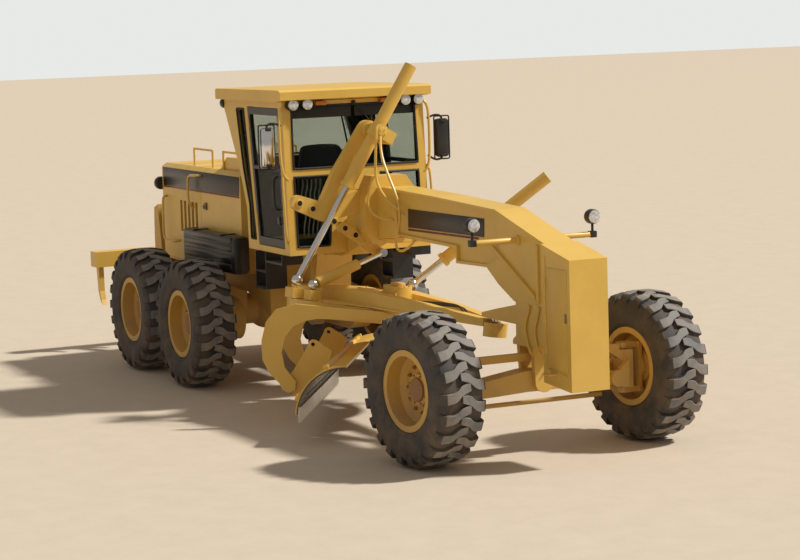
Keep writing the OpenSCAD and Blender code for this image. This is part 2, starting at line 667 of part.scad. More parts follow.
// Ball stud under the right steering arm, and the rod to the left one
tie_right = [tie_at[0] * cos(steer_rest) - (king_y - tie_at[1]) * sin(steer_rest),
    -king_y + tie_at[0] * sin(steer_rest) + (king_y - tie_at[1]) * cos(steer_rest), tie_at[2]];
module tie_ball() color(steel) place() translate(tie_right) {
    sphere(r = 26);
    cylinder(h = 455 - tie_at[2] - gap, r = 14);
}
module tie_rod() color(yellow) place() {
    pin_y(tie_right[0], tie_right[1] + 42, tie_right[1] + 2 * king_y - 90, tie_at[2], 21);
    pin_y(tie_right[0], tie_right[1] + 26 + gap, tie_right[1] + 43, tie_at[2], 12);
}

// Ball under the bolster's bracket
module draft_ball() color(steel) place() {
    translate(ball) sphere(r = ball_r);
    pin_z(ball[0], ball[1], ball[2], 1124.2, 32);
    pin_z(ball[0], ball[1], 1104, 1124.2, 40);
}

// Drawbar: housing round the ball, two members, a plate over the circle, the cylinders' pads
module drawbar() color(yellow) place() at_drawbar() difference() {
    union() {
        intersection() {
            both_sides() linear_extrude(160) polygon([[2110, 5], [2110, 100], [1200, 270], [-120, 440], [-120, 190],
                [1100, 150], [2000, 5]]);
            side_plate(-500, 500, [[2110, 0], [2110, 70], [1300, 120], [300, 150], [-120, 100], [-120, 0]]);
        }
        linear_extrude(16) polygon([[-640, -420], [-400, -620], [300, -620], [640, -380], [1300, -255],
            [1300, 255], [640, 380], [300, 620], [-400, 620], [-640, 420]]);
        box(-640, -120, -440, -300, 0, 95);
        box(-640, -120, 300, 440, 0, 95);
        box(-680, -600, -440, 440, 0, 95);
        both_sides() box(lift_socket[0] - 75, lift_socket[0] + 75, 600, 760, 0, 98);
        box(shift_socket[0] - 60, shift_socket[0] + 60, shift_socket[1] - 60, shift_socket[1] + 60, 0,
            shift_socket[2] - 50 - gap);
        // Circle's drive with its pinion, and the guides inside the ring
        pin_z(545, 0, 0, 210, 140);
        box(430, 660, -100, 100, 0, 150);
        pin_z(555, 0, -90, 1, 62);
        for (a = [45, 135, 225, 315]) rotate([0, 0, a]) {
            box(560, 630, -60, 60, circle_top - circle_h - 30, 1);
            box(560, 680, -60, 60, circle_top - circle_h - 30, circle_top - circle_h - gap);
        }
        translate([ball_reach, 0, -ball_drop - 78]) cylinder(h = 126, r = 110);
    }
    translate([ball_reach, 0, -ball_drop]) {
        sphere(r = ball_r + gap);
        translate([0, 0, 20]) cylinder(h = 60, r = 64);
    }
}

// Circle: toothed ring with an arm at each side that carries the blade
module blade_circle() color(shade) place() at_circle() {
    translate([0, 0, circle_top - circle_h]) linear_extrude(circle_h) difference() {
        circle(r = circle_r, $fn = 96);
        circle(r = circle_r - 110, $fn = 96);
        for (i = [0:47]) rotate(i * 7.5) translate([circle_r - 112, -14]) square([22, 28]);
    }
    both_sides() {
        side_plate(arm_y - arm_t / 2, arm_y + arm_t / 2, [[330, -40], [240, -20], [-600, -20], [-780, -90],
            [-863, -214], [-890, -400], [-865, -580], [-790, -700], [-683, -790], [-650, -850], [-590, -870],
            [-530, -840], [-530, -760], [-646, -637], [-690, -500], [-670, -350], [-600, -235],
            [-500, -175], [-378, -144], [252, -100], [330, -70]]);
        box(-330, 230, 695, arm_y - arm_t / 2 + 1, -140, circle_top - circle_h + 1);
    }
    // Pins on which the tip brackets turn
    both_sides() pin_y(tip_at[0], arm_y - arm_t / 2 - 70, arm_y - arm_t / 2 + 1, tip_at[1], 25);
}

// Brackets that hold the blade by its rails
rail_in = [118, 166];
module tip_bracket() color(yellow) place() at_circle() both_sides()
    translate([0, arm_y - arm_t / 2 - 5, 0]) rotate([90, 0, 0]) linear_extrude(60) difference() {
        union() {
            translate(tip_at) circle(r = 62);
            translate([-403, -394]) circle(r = 45);
            polygon([[-650, -810], [-590, -862], [-440, -960], [-390, -940], [-380, -840], [-230, -530],
                [-215, -440], [-380, -352], [-440, -380], [-500, -520]]);
        }
        translate(tip_at) circle(r = 25 + gap);
        translate([-403, -394]) circle(r = 20);
        translate(blade_centre) {
            circle(r = blade_r + gap, $fn = 96);
            for (a = rail_in) rotate(a) polygon([[0, -24 - gap], [0, 24 + gap], [blade_r + 32 + gap, 24 + gap],
                [blade_r + 32 + gap, -24 - gap]]);
        }
    }

// Blade plate with the two rails on its back
module arc_plate(r0, r1, a0, a1) {
    translate(blade_centre) intersection() {
        difference() {
            circle(r = r1, $fn = 96);
            circle(r = r0, $fn = 96);
        }
        polygon([[0, 0], 900 * [cos(a0), sin(a0)], 900 * [cos(a0 / 2 + a1 / 2), sin(a0 / 2 + a1 / 2)],
            900 * [cos(a1), sin(a1)]]);
    }
}
module moldboard() color(yellow) place() at_circle() {
    translate([0, blade_l / 2, 0]) rotate([90, 0, 0]) linear_extrude(blade_l)
        arc_plate(blade_r - blade_t, blade_r, blade_dir - blade_half, blade_dir + blade_half * 0.86);
    translate([0, blade_l / 2 - 60, 0]) rotate([90, 0, 0]) linear_extrude(blade_l - 120)
        for (a = rail_in) translate(blade_centre) rotate(a) polygon([[blade_r - 8, -24], [blade_r - 8, 24],
            [blade_r + 32, 24], [blade_r + 32, -24]]);
}
module cutting_edge() color(steel) place() at_circle()
    translate([0, blade_l / 2, 0]) rotate([90, 0, 0]) linear_extrude(blade_l)
        arc_plate(blade_r - blade_t - 20, blade_r - blade_t - gap, blade_dir + blade_half * 0.66,
            blade_dir + blade_half * 1.06);

function unit(v) = v / norm(v);
right_eye = from_drawbar([lift_socket[0], -lift_socket[1], lift_socket[2]]);
left_eye = from_drawbar(lift_socket);
shift_eye = from_drawbar(shift_socket);

// Barrel with its trunnions, then the rod with the ball at its end
module lift_barrel(pin, eye) {
    d = unit(pin - eye);
    low = pin - d * lift_above;
    difference() {
        union() {
            rod(low, low + d * lift_barrel_l, lift_d / 2);
            rod(low, low + d * 40, lift_d / 2 + 12);
            rod(pin - d * 55, pin + d * 55, lift_d / 2 + 16);
            pin_x(pin[0] - 140, pin[0] + 140, pin[1], pin[2], 30);
        }
        rod(low - d, low + d * (lift_barrel_l - 60), lift_rod_d / 2 + gap);
    }
}
module lift_rod(pin, eye) {
    d = unit(pin - eye);
    rod(eye + d * 30, pin - d * (lift_above - 420), lift_rod_d / 2);
    translate(eye) sphere(r = 55);
}
module lift_barrel_right() color(yellow) place() lift_barrel(lift_pin_right, right_eye);
module lift_barrel_left() color(yellow) place() lift_barrel(lift_pin_left, left_eye);
module lift_rod_right() color(steel) place() lift_rod(lift_pin_right, right_eye);
module lift_rod_left() color(steel) place() lift_rod(lift_pin_left, left_eye);

// Centre shift cylinder between the drawbar and the link bar
shift_dir = unit(shift_pin - shift_eye);
module shift_ball() color(steel) place() translate(shift_eye) sphere(r = 50);
module shift_barrel() color(yellow) place() difference() {
    rod(shift_eye + shift_dir * (50 + gap), shift_eye + shift_dir * 560, shift_d / 2);
    rod(shift_eye + shift_dir * 90, shift_eye + shift_dir * 561, shift_rod_d / 2 + gap);
}
module shift_rod() color(steel) place() {
    rod(shift_eye + shift_dir * 400, shift_pin - shift_dir * 30, shift_rod_d / 2);
    pin_x(shift_pin[0] - 28, shift_pin[0] + 28, shift_pin[1], shift_pin[2], 42);
}

// Ripper: arms from the lugs up to the beam, which carries the shanks
module ripper_arms() color(yellow) place() both_sides() side_cut(356, 404) difference() {
    union() {
        polygon([[-7820, 640], [-7890, 550], [-8600 - gap, 985], [-8600 - gap, 1150], [-8540, 1150]]);
        translate(ripper_at) circle(r = 50);
    }
    translate(ripper_at) circle(r = 25 + gap);
}
module side_cut(y0, y1) translate([0, y1, 0]) rotate([90, 0, 0]) linear_extrude(y1 - y0) children();
module ripper_beam() color(yellow) place() {
    box(-8800, -8600 - 2 * gap, -ripper_l / 2, ripper_l / 2, 985, 1165);
    for (i = [0:shank_count - 1]) {
        y = (i - (shank_count - 1) / 2) * 533;
        side_plate(y - 30, y + 30, [[-8740, 990], [-8650, 990], [-8640, 700], [-8600, 600], [-8560, 540],
            [-8640, 590], [-8700, 700]]);
    }
}

rear_frame();
engine();
engine_hood();
radiator_grille();
side_tanks();
hood_door_right();
hood_door_left();
tandem_right();
tandem_left();
rim_mid_right();
rim_mid_left();
rim_rear_right();
rim_rear_left();
rim_front_right();
rim_front_left();
tyre_mid_right();
tyre_mid_left();
tyre_rear_right();
tyre_rear_left();
tyre_front_right();
tyre_front_left();
front_frame();
front_box();
cab_frame();
cab_roof();
cab_glass();
cab_door_right();
cab_door_left();
door_glass_right();
door_glass_left();
seat();
console();
steps();
front_lamps();
mirrors();
lift_linkage();
front_axle();
lean_bracket_right();
lean_bracket_left();
lean_bar();
knuckle_right();
knuckle_left();
tie_ball();
tie_rod();
draft_ball();
drawbar();
blade_circle();
tip_bracket();
moldboard();
cutting_edge();
lift_barrel_right();
lift_barrel_left();
lift_rod_right();
lift_rod_left();
shift_ball();
shift_barrel();
shift_rod();
ripper_arms();
ripper_beam();
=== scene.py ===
import bpy
import math
from mathutils import Matrix, Vector


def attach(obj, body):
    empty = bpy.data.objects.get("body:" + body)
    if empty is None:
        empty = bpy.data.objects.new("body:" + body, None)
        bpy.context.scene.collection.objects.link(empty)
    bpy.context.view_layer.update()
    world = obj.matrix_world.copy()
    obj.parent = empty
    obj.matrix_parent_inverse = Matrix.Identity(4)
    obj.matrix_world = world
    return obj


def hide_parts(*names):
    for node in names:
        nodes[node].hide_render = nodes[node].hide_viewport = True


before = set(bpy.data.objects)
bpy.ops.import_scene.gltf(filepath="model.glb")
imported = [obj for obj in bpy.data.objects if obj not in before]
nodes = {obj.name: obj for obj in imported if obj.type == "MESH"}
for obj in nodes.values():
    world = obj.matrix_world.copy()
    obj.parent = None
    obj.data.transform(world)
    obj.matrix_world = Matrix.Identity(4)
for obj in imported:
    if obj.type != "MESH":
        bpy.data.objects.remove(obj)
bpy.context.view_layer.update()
bpy.context.scene.view_settings.view_transform = "Standard"
print("frame loaded,", len(nodes), "nodes")

originBack = 3.935  # from the middle of the machine forward to the front axle


def spot(x, y, z):  # a place measured from the front axle, on the ground
    return Vector((x + originBack, y, z))


# ---- camera, light and floor

camera = {"place": (18.44, -10.1334, 3.9839), "yaw": 154.41, "down": 6.57, "roll": 1.78, "lens": 108.6}


def addCamera():
    yaw, down, roll = (math.radians(camera[key]) for key in ("yaw", "down", "roll"))
    look = Vector((math.cos(yaw) * math.cos(down), math.sin(yaw) * math.cos(down), -math.sin(down)))
    right = look.cross(Vector((0, 0, 1))).normalized()
    low = look.cross(right)
    across = math.cos(roll) * right + math.sin(roll) * low
    up = math.sin(roll) * right - math.cos(roll) * low
    bpy.ops.object.camera_add()
    eye = bpy.context.object
    eye.name = "photoCamera"
    turn = Matrix((across, up, -look)).transposed().to_4x4()
    eye.matrix_world = Matrix.Translation(spot(*camera["place"])) @ turn
    eye.data.sensor_width = 36
    eye.data.lens = camera["lens"]
    eye.data.clip_end = 400
    bpy.context.scene.camera = eye


light = {
    "sunStrength": 3.9, "sunSize": 0.07, "sunTurn": (42, 0, 158), "sky": 0.36, "glow": (1, 0.92, 0.84, 1),
    "backdrop": (0.80, 0.82, 0.80, 1)
}


def addLight():
    bpy.ops.object.light_add(type="SUN", location=(0, 0, 12))
    sun = bpy.context.object
    sun.name = "softSun"
    sun.rotation_euler = [math.radians(v) for v in light["sunTurn"]]
    sun.data.energy = light["sunStrength"]
    sun.data.angle = light["sunSize"]
    sun.data.color = (1, 0.97, 0.91)
    world = bpy.data.worlds.new("studio")
    bpy.context.scene.world = world
    world.use_nodes = True
    tree = world.node_tree
    tree.nodes.clear()
    out = tree.nodes.new("ShaderNodeOutputWorld")
    mix = tree.nodes.new("ShaderNodeMixShader")
    seen = tree.nodes.new("ShaderNodeBackground")
    glow = tree.nodes.new("ShaderNodeBackground")
    path = tree.nodes.new("ShaderNodeLightPath")
    seen.inputs["Color"].default_value = light["backdrop"]
    seen.inputs["Strength"].default_value = 1
    glow.inputs["Color"].default_value = light["glow"]
    glow.inputs["Strength"].default_value = light["sky"]
    tree.links.new(path.outputs["Is Camera Ray"], mix.inputs["Fac"])
    tree.links.new(glow.outputs[0], mix.inputs[1])
    tree.links.new(seen.outputs[0], mix.inputs[2])
    tree.links.new(mix.outputs[0], out.inputs["Surface"])


# ---- materials


def newGroup(name, entries, exits):
    group = bpy.data.node_groups.new(name, "ShaderNodeTree")
    for label, kind, value in entries:
        socket = group.interface.new_socket(name=label, in_out="INPUT", socket_type=kind)
        socket.default_value = value
    for label, kind in exits:
        group.interface.new_socket(name=label, in_out="OUTPUT", socket_type=kind)
    return group, group.nodes.new("NodeGroupInput"), group.nodes.new("NodeGroupOutput")


def addNode(tree, kind, values=None, **settings):
    node = tree.nodes.new(kind)
    for key, value in settings.items():
        setattr(node, key, value)
    for key, value in (values or {}).items():
        node.inputs[key].default_value = value
    return node


def maths(tree, operation, first, second, clamp=False):
    node = tree.nodes.new("ShaderNodeMath")
    node.operation = operation
    node.use_clamp = clamp
    for index, value in enumerate((first, second)):
        if isinstance(value, (int, float)):
            node.inputs[index].default_value = value
        else:
            tree.links.new(value, node.inputs[index])
    return node.outputs[0]


def mixColor(tree, factor, first, second):
    node = addNode(tree, "ShaderNodeMix", data_type="RGBA")
    for index, value in ((0, factor), (6, first), (7, second)):
        if hasattr(value, "is_linked"):
            tree.links.new(value, node.inputs[index])
        else:
            node.inputs[index].default_value = value
    return node.outputs[2]


def texture(tree, kind, place, values):
    node = addNode(tree, "ShaderNodeTex" + kind, values)
    tree.links.new(place, node.inputs["Vector"])
    return node


def remap(tree, value, low, high, lowOut=0.0, highOut=1.0):
    node = addNode(tree, "ShaderNodeMapRange")
    for key, number in zip(("From Min", "From Max", "To Min", "To Max"), (low, high, lowOut, highOut)):
        node.inputs[key].default_value = number
    tree.links.new(value, node.inputs["Value"])
    return node.outputs[0]


def addBump(tree, shader, height, strength, distance):
    raised = addNode(tree, "ShaderNodeBump", {"Strength": strength, "Distance": distance})
    tree.links.new(height, raised.inputs["Height"])
    tree.links.new(raised.outputs["Normal"], shader.inputs["Normal"])


def makeDustGroup():  # colour that varies, dust on top faces and near the ground, small chips
    group, start, end = newGroup("siteDust", [
        ("Color", "NodeSocketColor", (1, 1, 1, 1)), ("Dust Color", "NodeSocketColor", (0.4, 0.3, 0.2, 1)),
        ("Chip Color", "NodeSocketColor", (0.1, 0.08, 0.07, 1)), ("Dust", "NodeSocketFloat", 0.3),
        ("Chips", "NodeSocketFloat", 0.2), ("Scale", "NodeSocketFloat", 3.0), ("Gloss", "NodeSocketFloat", 0.4)],
        [("Color", "NodeSocketColor"), ("Roughness", "NodeSocketFloat"), ("Height", "NodeSocketFloat")])
    link = group.links.new
    place = addNode(group, "ShaderNodeTexCoord").outputs["Object"]
    split = addNode(group, "ShaderNodeSeparateXYZ")
    link(place, split.inputs[0])
    cloud = texture(group, "Noise", place, {"Detail": 6.0, "Roughness": 0.62})
    link(start.outputs["Scale"], cloud.inputs["Scale"])
    fine = texture(group, "Noise", place, {"Scale": 55.0, "Detail": 5.0, "Roughness": 0.7})
    facing = addNode(group, "ShaderNodeNewGeometry").outputs["Normal"]
    normal = addNode(group, "ShaderNodeSeparateXYZ")
    link(facing, normal.inputs[0])
    top = remap(group, normal.outputs["Z"], 0.35, 1.0, 0.0, 0.8)
    low = remap(group, split.outputs["Z"], 1.5, 0.1)
    patch = remap(group, cloud.outputs["Fac"], 0.38, 0.66)
    where = maths(group, "ADD", top, low, True)
    where = maths(group, "ADD", maths(group, "MULTIPLY", where, 0.85), 0.15)
    grit = maths(group, "ADD", maths(group, "MULTIPLY", fine.outputs["Fac"], 0.6), 0.6)
    dust = maths(group, "MULTIPLY", maths(group, "MULTIPLY", where, patch), grit)
    dust = maths(group, "MULTIPLY", dust, start.outputs["Dust"], True)
    shadeHint = addNode(group, "ShaderNodeHueSaturation")
    link(remap(group, cloud.outputs["Fac"], 0.3, 0.7, 0.90, 1.06), shadeHint.inputs["Value"])
    link(start.outputs["Color"], shadeHint.inputs["Color"])
    speck = texture(group, "Noise", place, {"Scale": 23.0, "Detail": 8.0, "Roughness": 0.75})
    edge = maths(group, "SUBTRACT", 0.80, maths(group, "MULTIPLY", start.outputs["Chips"], 0.22))
    chip = maths(group, "GREATER_THAN", speck.outputs["Fac"], edge)
    worn = mixColor(group, chip, shadeHint.outputs["Color"], start.outputs["Chip Color"])
    link(mixColor(group, dust, worn, start.outputs["Dust Color"]), end.inputs["Color"])
    rough = maths(group, "ADD", start.outputs["Gloss"], maths(group, "MULTIPLY", dust, 0.5), True)
    link(rough, end.inputs["Roughness"])
    swell = maths(group, "MULTIPLY", cloud.outputs["Fac"], 2)
    link(maths(group, "ADD", fine.outputs["Fac"], swell), end.inputs["Height"])
    return group


dustGroup = makeDustGroup()

finishes = {  # colour, dust, chips, scale, gloss, bump, metallic, dust colour
    "machineYellow": ((0.76, 0.49, 0.095), 0.32, 0.25, 2.2, 0.36, 0.05, 0, (0.52, 0.34, 0.18)),
    "frameYellow": ((0.66, 0.40, 0.08), 0.75, 0.45, 2.8, 0.45, 0.08, 0, (0.40, 0.27, 0.16)),
    # painted shade with dirt: dark brown used on the hub nuts and caps, which sit in the shade of the rim's dish
    "dirtAndShadeBrown": ((0.34, 0.17, 0.06), 0.8, 0.8, 4.0, 0.6, 0.2, 0, (0.32, 0.21, 0.13)),
    "satinBlack": ((0.017, 0.017, 0.018), 0.22, 0.1, 3.0, 0.34, 0.05, 0, (0.30, 0.25, 0.19)),
    "bandBlack": ((0.022, 0.016, 0.015), 0.12, 0.0, 3.0, 0.30, 0.02, 0, (0.30, 0.22, 0.15)),
    "bandRed": ((0.16, 0.012, 0.01), 0.12, 0.0, 3.0, 0.32, 0.02, 0, (0.30, 0.22, 0.15)),
    "sealRubber": ((0.012, 0.012, 0.012), 0.2, 0.0, 6.0, 0.6, 0.1, 0, (0.25, 0.2, 0.15)),
    "tyreRubber": ((0.052, 0.051, 0.052), 0.85, 0.0, 5.0, 0.72, 0.35, 0, (0.22, 0.155, 0.10)),
    "wornRubber": ((0.17, 0.172, 0.175), 0.9, 0.0, 9.0, 0.62, 0.5, 0, (0.36, 0.29, 0.22)),
    "blackHose": ((0.02, 0.02, 0.02), 0.35, 0.0, 8.0, 0.5, 0.1, 0, (0.28, 0.2, 0.14)),
    "polishedRod": ((0.72, 0.73, 0.75), 0.06, 0.0, 6.0, 0.14, 0.02, 1, (0.3, 0.25, 0.2)),
    "scouredSteel": ((0.50, 0.48, 0.46), 0.35, 0.3, 7.0, 0.32, 0.25, 1, (0.28, 0.2, 0.14)),
    "boltSteel": ((0.35, 0.31, 0.25), 0.5, 0.3, 9.0, 0.45, 0.1, 1, (0.3, 0.22, 0.15)),
    "coreGrey": ((0.05, 0.05, 0.05), 0.5, 0.2, 8.0, 0.6, 0.3, 0, (0.25, 0.2, 0.14)),
    "amberPlastic": ((0.55, 0.16, 0.03), 0.1, 0.0, 6.0, 0.25, 0.02, 0, (0.4, 0.3, 0.2)),
    "redPlastic": ((0.42, 0.02, 0.015), 0.1, 0.0, 6.0, 0.25, 0.02, 0, (0.4, 0.3, 0.2)),
    "mirrorSilver": ((0.80, 0.81, 0.83), 0.12, 0.0, 5.0, 0.12, 0.01, 1, (0.4, 0.35, 0.3)),
    # painted highlight: pale grey for the glint on the control rods seen through the glass
    "leverGrey": ((0.55, 0.57, 0.52), 0.1, 0.0, 8.0, 0.35, 0.02, 0, (0.4, 0.3, 0.2)),
    "mirrorFace": ((0.80, 0.82, 0.84), 0.05, 0.0, 6.0, 0.05, 0.0, 1, (0.4, 0.3, 0.2)),
    "cabTrim": ((0.10, 0.095, 0.09), 0.2, 0.0, 5.0, 0.6, 0.1, 0, (0.3, 0.25, 0.2)),
    # painted shade: near black for the inside of holes
    "boltHole": ((0.014, 0.009, 0.006), 0.1, 0.0, 6.0, 0.8, 0.05, 0, (0.08, 0.05, 0.03)),
}
materials = {}


def newMaterial(name):
    material = bpy.data.materials.new(name)
    material.use_nodes = True
    materials[name] = material
    return material.node_tree, material.node_tree.nodes["Principled BSDF"]


def paintOver(name):  # a copy of the yellow paint, its shader, its colour and the object's coordinates
    material = materials["machineYellow"].copy()
    material.name = name
    materials[name] = material
    tree = material.node_tree
    shader = tree.nodes["Principled BSDF"]
    painted = [link.from_socket for link in tree.links if link.to_socket == shader.inputs["Base Color"]][0]
    return tree, shader, painted, addNode(tree, "ShaderNodeTexCoord").outputs["Object"]


def makeFinishes():
    for name, (color, dust, chips, scale, gloss, bump, metal, dustColor) in finishes.items():
        tree, shader = newMaterial(name)
        coat = addNode(tree, "ShaderNodeGroup", node_tree=dustGroup)
        values = {"Color": (*color, 1), "Dust Color": (*dustColor, 1), "Dust": dust, "Chips": chips,
                  "Scale": scale, "Gloss": gloss}
        for key, value in values.items():
            coat.inputs[key].default_value = value
        addBump(tree, shader, coat.outputs["Height"], bump, 0.004)
        tree.links.new(coat.outputs["Color"], shader.inputs["Base Color"])
        tree.links.new(coat.outputs["Roughness"], shader.inputs["Roughness"])
        shader.inputs["Metallic"].default_value = metal


bladeSet = {"at": (-2.9, -0.3, 1.076), "yaw": 8, "slope": 1.3, "roll": 7, "turn": 52}


def bladePlace(withTurn=True):
    turned = Matrix.Rotation(math.radians(bladeSet["yaw"]), 4, "Z")
    turned = turned @ Matrix.Rotation(math.radians(bladeSet["slope"]), 4, "Y")
    turned = turned @ Matrix.Rotation(math.radians(-bladeSet["roll"]), 4, "X")
    if withTurn:
        turned = turned @ Matrix.Rotation(math.radians(bladeSet["turn"]), 4, "Z")
    return Matrix.Translation(spot(*bladeSet["at"])) @ turned


bladeAxis = {"past": 0.0526, "below": -0.9187, "faceRadius": 0.447}


def makeBladePaintWithFaceShade():  # the hollow face is painted dark, partly for scoured dirty steel and partly as painted shade; the back keeps its paint
    tree, shader, painted, place = paintOver("bladePaint")
    turned = bladePlace()
    axisPlace = turned @ Vector((bladeAxis["past"], 0, bladeAxis["below"]))
    axisTurn = (turned.to_3x3() @ Vector((0, 1, 0))).normalized()
    away = addNode(tree, "ShaderNodeVectorMath", {1: axisPlace}, operation="SUBTRACT")
    tree.links.new(place, away.inputs[0])
    cross = addNode(tree, "ShaderNodeVectorMath", {1: axisTurn}, operation="CROSS_PRODUCT")
    tree.links.new(away.outputs[0], cross.inputs[0])
    length = addNode(tree, "ShaderNodeVectorMath", operation="LENGTH")
    tree.links.new(cross.outputs[0], length.inputs[0])
    shadeAndScourMask = maths(tree, "LESS_THAN", length.outputs["Value"], bladeAxis["faceRadius"])
    streak = texture(tree, "Noise", place, {"Scale": 6.0, "Detail": 9.0, "Roughness": 0.7})
    # painted shade mixed with dark scoured steel: the hollow face, which lies in shade, is coloured near black-brown
    face = mixColor(tree, streak.outputs["Fac"], (0.030, 0.022, 0.017, 1), (0.13, 0.09, 0.06, 1))
    tree.links.new(mixColor(tree, shadeAndScourMask, painted, face), shader.inputs["Base Color"])


def makeGlass(name, tint, rough):  # clear sheet that lets the cab be seen through it
    tree, shader = newMaterial(name)
    place = addNode(tree, "ShaderNodeTexCoord").outputs["Object"]
    film = texture(tree, "Noise", place, {"Scale": 4.0, "Detail": 7.0})
    tree.links.new(remap(tree, film.outputs["Fac"], 0.35, 0.75, rough, rough + 0.12), shader.inputs["Roughness"])
    deeper = (*[v * 0.8 for v in tint], 1)
    tree.links.new(mixColor(tree, film.outputs["Fac"], (*tint, 1), deeper), shader.inputs["Base Color"])
    shader.inputs["Transmission Weight"].default_value = 1
    shader.inputs["IOR"].default_value = 1.1
    shader.inputs["Specular IOR Level"].default_value = 0.8


cab = {"halfWidth": 0.78, "foot": -3.6, "slope": 0.0588, "seal": 0.011}
cabRoom = {"halfWidth": 0.742, "low": 1.53, "high": 3.02, "behindGlass": 0.035, "rearFoot": -4.62, "rearLean": 0.46}


def makeCabPaintWithInsideShade():  # yellow outside; what lies inside the walls is painted dark, a painted shade for the shaded room under the roof
    tree, shader, painted, place = paintOver("cabPaint")
    split = addNode(tree, "ShaderNodeSeparateXYZ")
    tree.links.new(place, split.inputs[0])
    lean = maths(tree, "ADD", split.outputs["X"], maths(tree, "MULTIPLY", split.outputs["Z"], cab["slope"]))
    inside = maths(tree, "LESS_THAN", maths(tree, "ABSOLUTE", split.outputs["Y"], 0), cabRoom["halfWidth"])
    front = cab["foot"] + originBack + 1.5 * cab["slope"] - cabRoom["behindGlass"]
    inside = maths(tree, "MULTIPLY", inside, maths(tree, "LESS_THAN", lean, front))
    inside = maths(tree, "MULTIPLY", inside, maths(tree, "GREATER_THAN", split.outputs["Z"], cabRoom["low"]))
    inside = maths(tree, "MULTIPLY", inside, maths(tree, "LESS_THAN", split.outputs["Z"], cabRoom["high"]))
    rear = maths(tree, "ADD", split.outputs["X"], maths(tree, "MULTIPLY", split.outputs["Z"], cabRoom["rearLean"]))
    back = cabRoom["rearFoot"] + originBack + 1.6 * cabRoom["rearLean"]
    inside = maths(tree, "MULTIPLY", inside, maths(tree, "GREATER_THAN", rear, back))
    grain = texture(tree, "Noise", place, {"Scale": 9.0, "Detail": 4.0})
    # painted shade: the inside of the cab is coloured near black, standing for the shade in the cab
    trim = mixColor(tree, grain.outputs["Fac"], (0.035, 0.033, 0.031, 1), (0.07, 0.066, 0.06, 1))
    tree.links.new(mixColor(tree, inside, painted, trim), shader.inputs["Base Color"])


def makeCloth(name, color):
    tree, shader = newMaterial(name)
    place = addNode(tree, "ShaderNodeTexCoord").outputs["Object"]
    weave = texture(tree, "Wave", place, {"Scale": 160.0, "Distortion": 1.5, "Detail": 2.0})
    lighter = (*[v * 1.9 for v in color], 1)
    tree.links.new(mixColor(tree, weave.outputs["Fac"], (*color, 1), lighter), shader.inputs["Base Color"])
    addBump(tree, shader, weave.outputs["Fac"], 0.4, 0.002)
    shader.inputs["Roughness"].default_value = 0.85
    shader.inputs["Sheen Weight"].default_value = 0.3


def makeLens(name):  # fluted glass of a lamp, over a bright reflector
    tree, shader = newMaterial(name)
    place = addNode(tree, "ShaderNodeTexCoord").outputs["Object"]
    cells = texture(tree, "Voronoi", place, {"Scale": 45.0})
    silver = mixColor(tree, cells.outputs["Distance"], (0.88, 0.89, 0.90, 1), (0.42, 0.44, 0.46, 1))
    tree.links.new(silver, shader.inputs["Base Color"])
    addBump(tree, shader, cells.outputs["Distance"], 0.5, 0.003)
    shader.inputs["Metallic"].default_value = 0.35
    shader.inputs["Roughness"].default_value = 0.08


addCamera()
addLight()
makeFinishes()
makeBladePaintWithFaceShade()
makeCabPaintWithInsideShade()
makeGlass("tintedGlass", (0.62, 0.70, 0.68), 0.0)
makeCloth("seatCloth", (0.03, 0.032, 0.036))
makeLens("lampLens")

floor = {"size": 240, "color": (0.66, 0.57, 0.46), "mark": (0.52, 0.44, 0.34)}


def addFloor():
    bpy.ops.mesh.primitive_plane_add(size=floor["size"], location=(0, 0, -0.002))
    ground = bpy.context.object
    ground.name = "paleFloor"
    tree, shader = newMaterial("paleFloor")
    place = addNode(tree, "ShaderNodeTexCoord").outputs["Object"]
    grit = texture(tree, "Noise", place, {"Scale": 3.0, "Detail": 12.0, "Roughness": 0.75})
    sand = mixColor(tree, grit.outputs["Fac"], (*floor["mark"], 1), (*floor["color"], 1))
    tree.links.new(sand, shader.inputs["Base Color"])
    shader.inputs["Roughness"].default_value = 0.95
    ground.data.materials.append(materials["paleFloor"])


addFloor()
print("camera, light, floor and", len(materials), "materials made")


def pairs(*names):
    return [name + "_" + side for name in names for side in ("right", "left")]


nodeFinish = {
    "machineYellow": ["engine_hood", "front_frame", "front_box", "cab_roof", "lift_linkage", "shift_barrel",
                      "ripper_beam", "ripper_arms", "tip_bracket", "drawbar", "blade_circle",
                      *pairs("hood_door", "lift_barrel")],
    "frameYellow": ["rear_frame", "front_axle", "lean_bar", "tie_rod",
                    *pairs("tandem", "lean_bracket", "knuckle", "rim_mid", "rim_rear", "rim_front")],
    "bladePaint": ["moldboard"],
    "cabPaint": ["cab_frame"],
    "satinBlack": ["radiator_grille", "side_tanks", "steps", "mirrors", *pairs("cab_door")],
    "cabTrim": ["console"],
    "coreGrey": ["engine"],
    "polishedRod": ["shift_rod", "shift_ball", "draft_ball", "tie_ball", *pairs("lift_rod")],
    "scouredSteel": ["cutting_edge"],
    "tintedGlass": ["cab_glass", *pairs("door_glass")],
}
for finishName, names in nodeFinish.items():
    for name in names:
        nodes[name].data.materials.clear()
        nodes[name].data.materials.append(materials[finishName])

# ---- modelling helpers


def deselect():
    bpy.ops.object.select_all(action="DESELECT")


def made(name):
    piece = bpy.context.object
    piece.name = name
    return piece


def startMesh():
    bpy.ops.object.mode_set(mode="EDIT")
    bpy.ops.mesh.select_all(action="SELECT")


def endMesh(merge=0):  # faces outward
    bpy.ops.mesh.select_all(action="SELECT")
    if merge:
        bpy.ops.mesh.remove_doubles(threshold=merge)
    bpy.ops.mesh.normals_make_consistent(inside=False)
    bpy.ops.object.mode_set(mode="OBJECT")


def pick(*pieces):
    deselect()
    for piece in pieces:
        piece.select_set(True)
    bpy.context.view_layer.objects.active = pieces[-1]


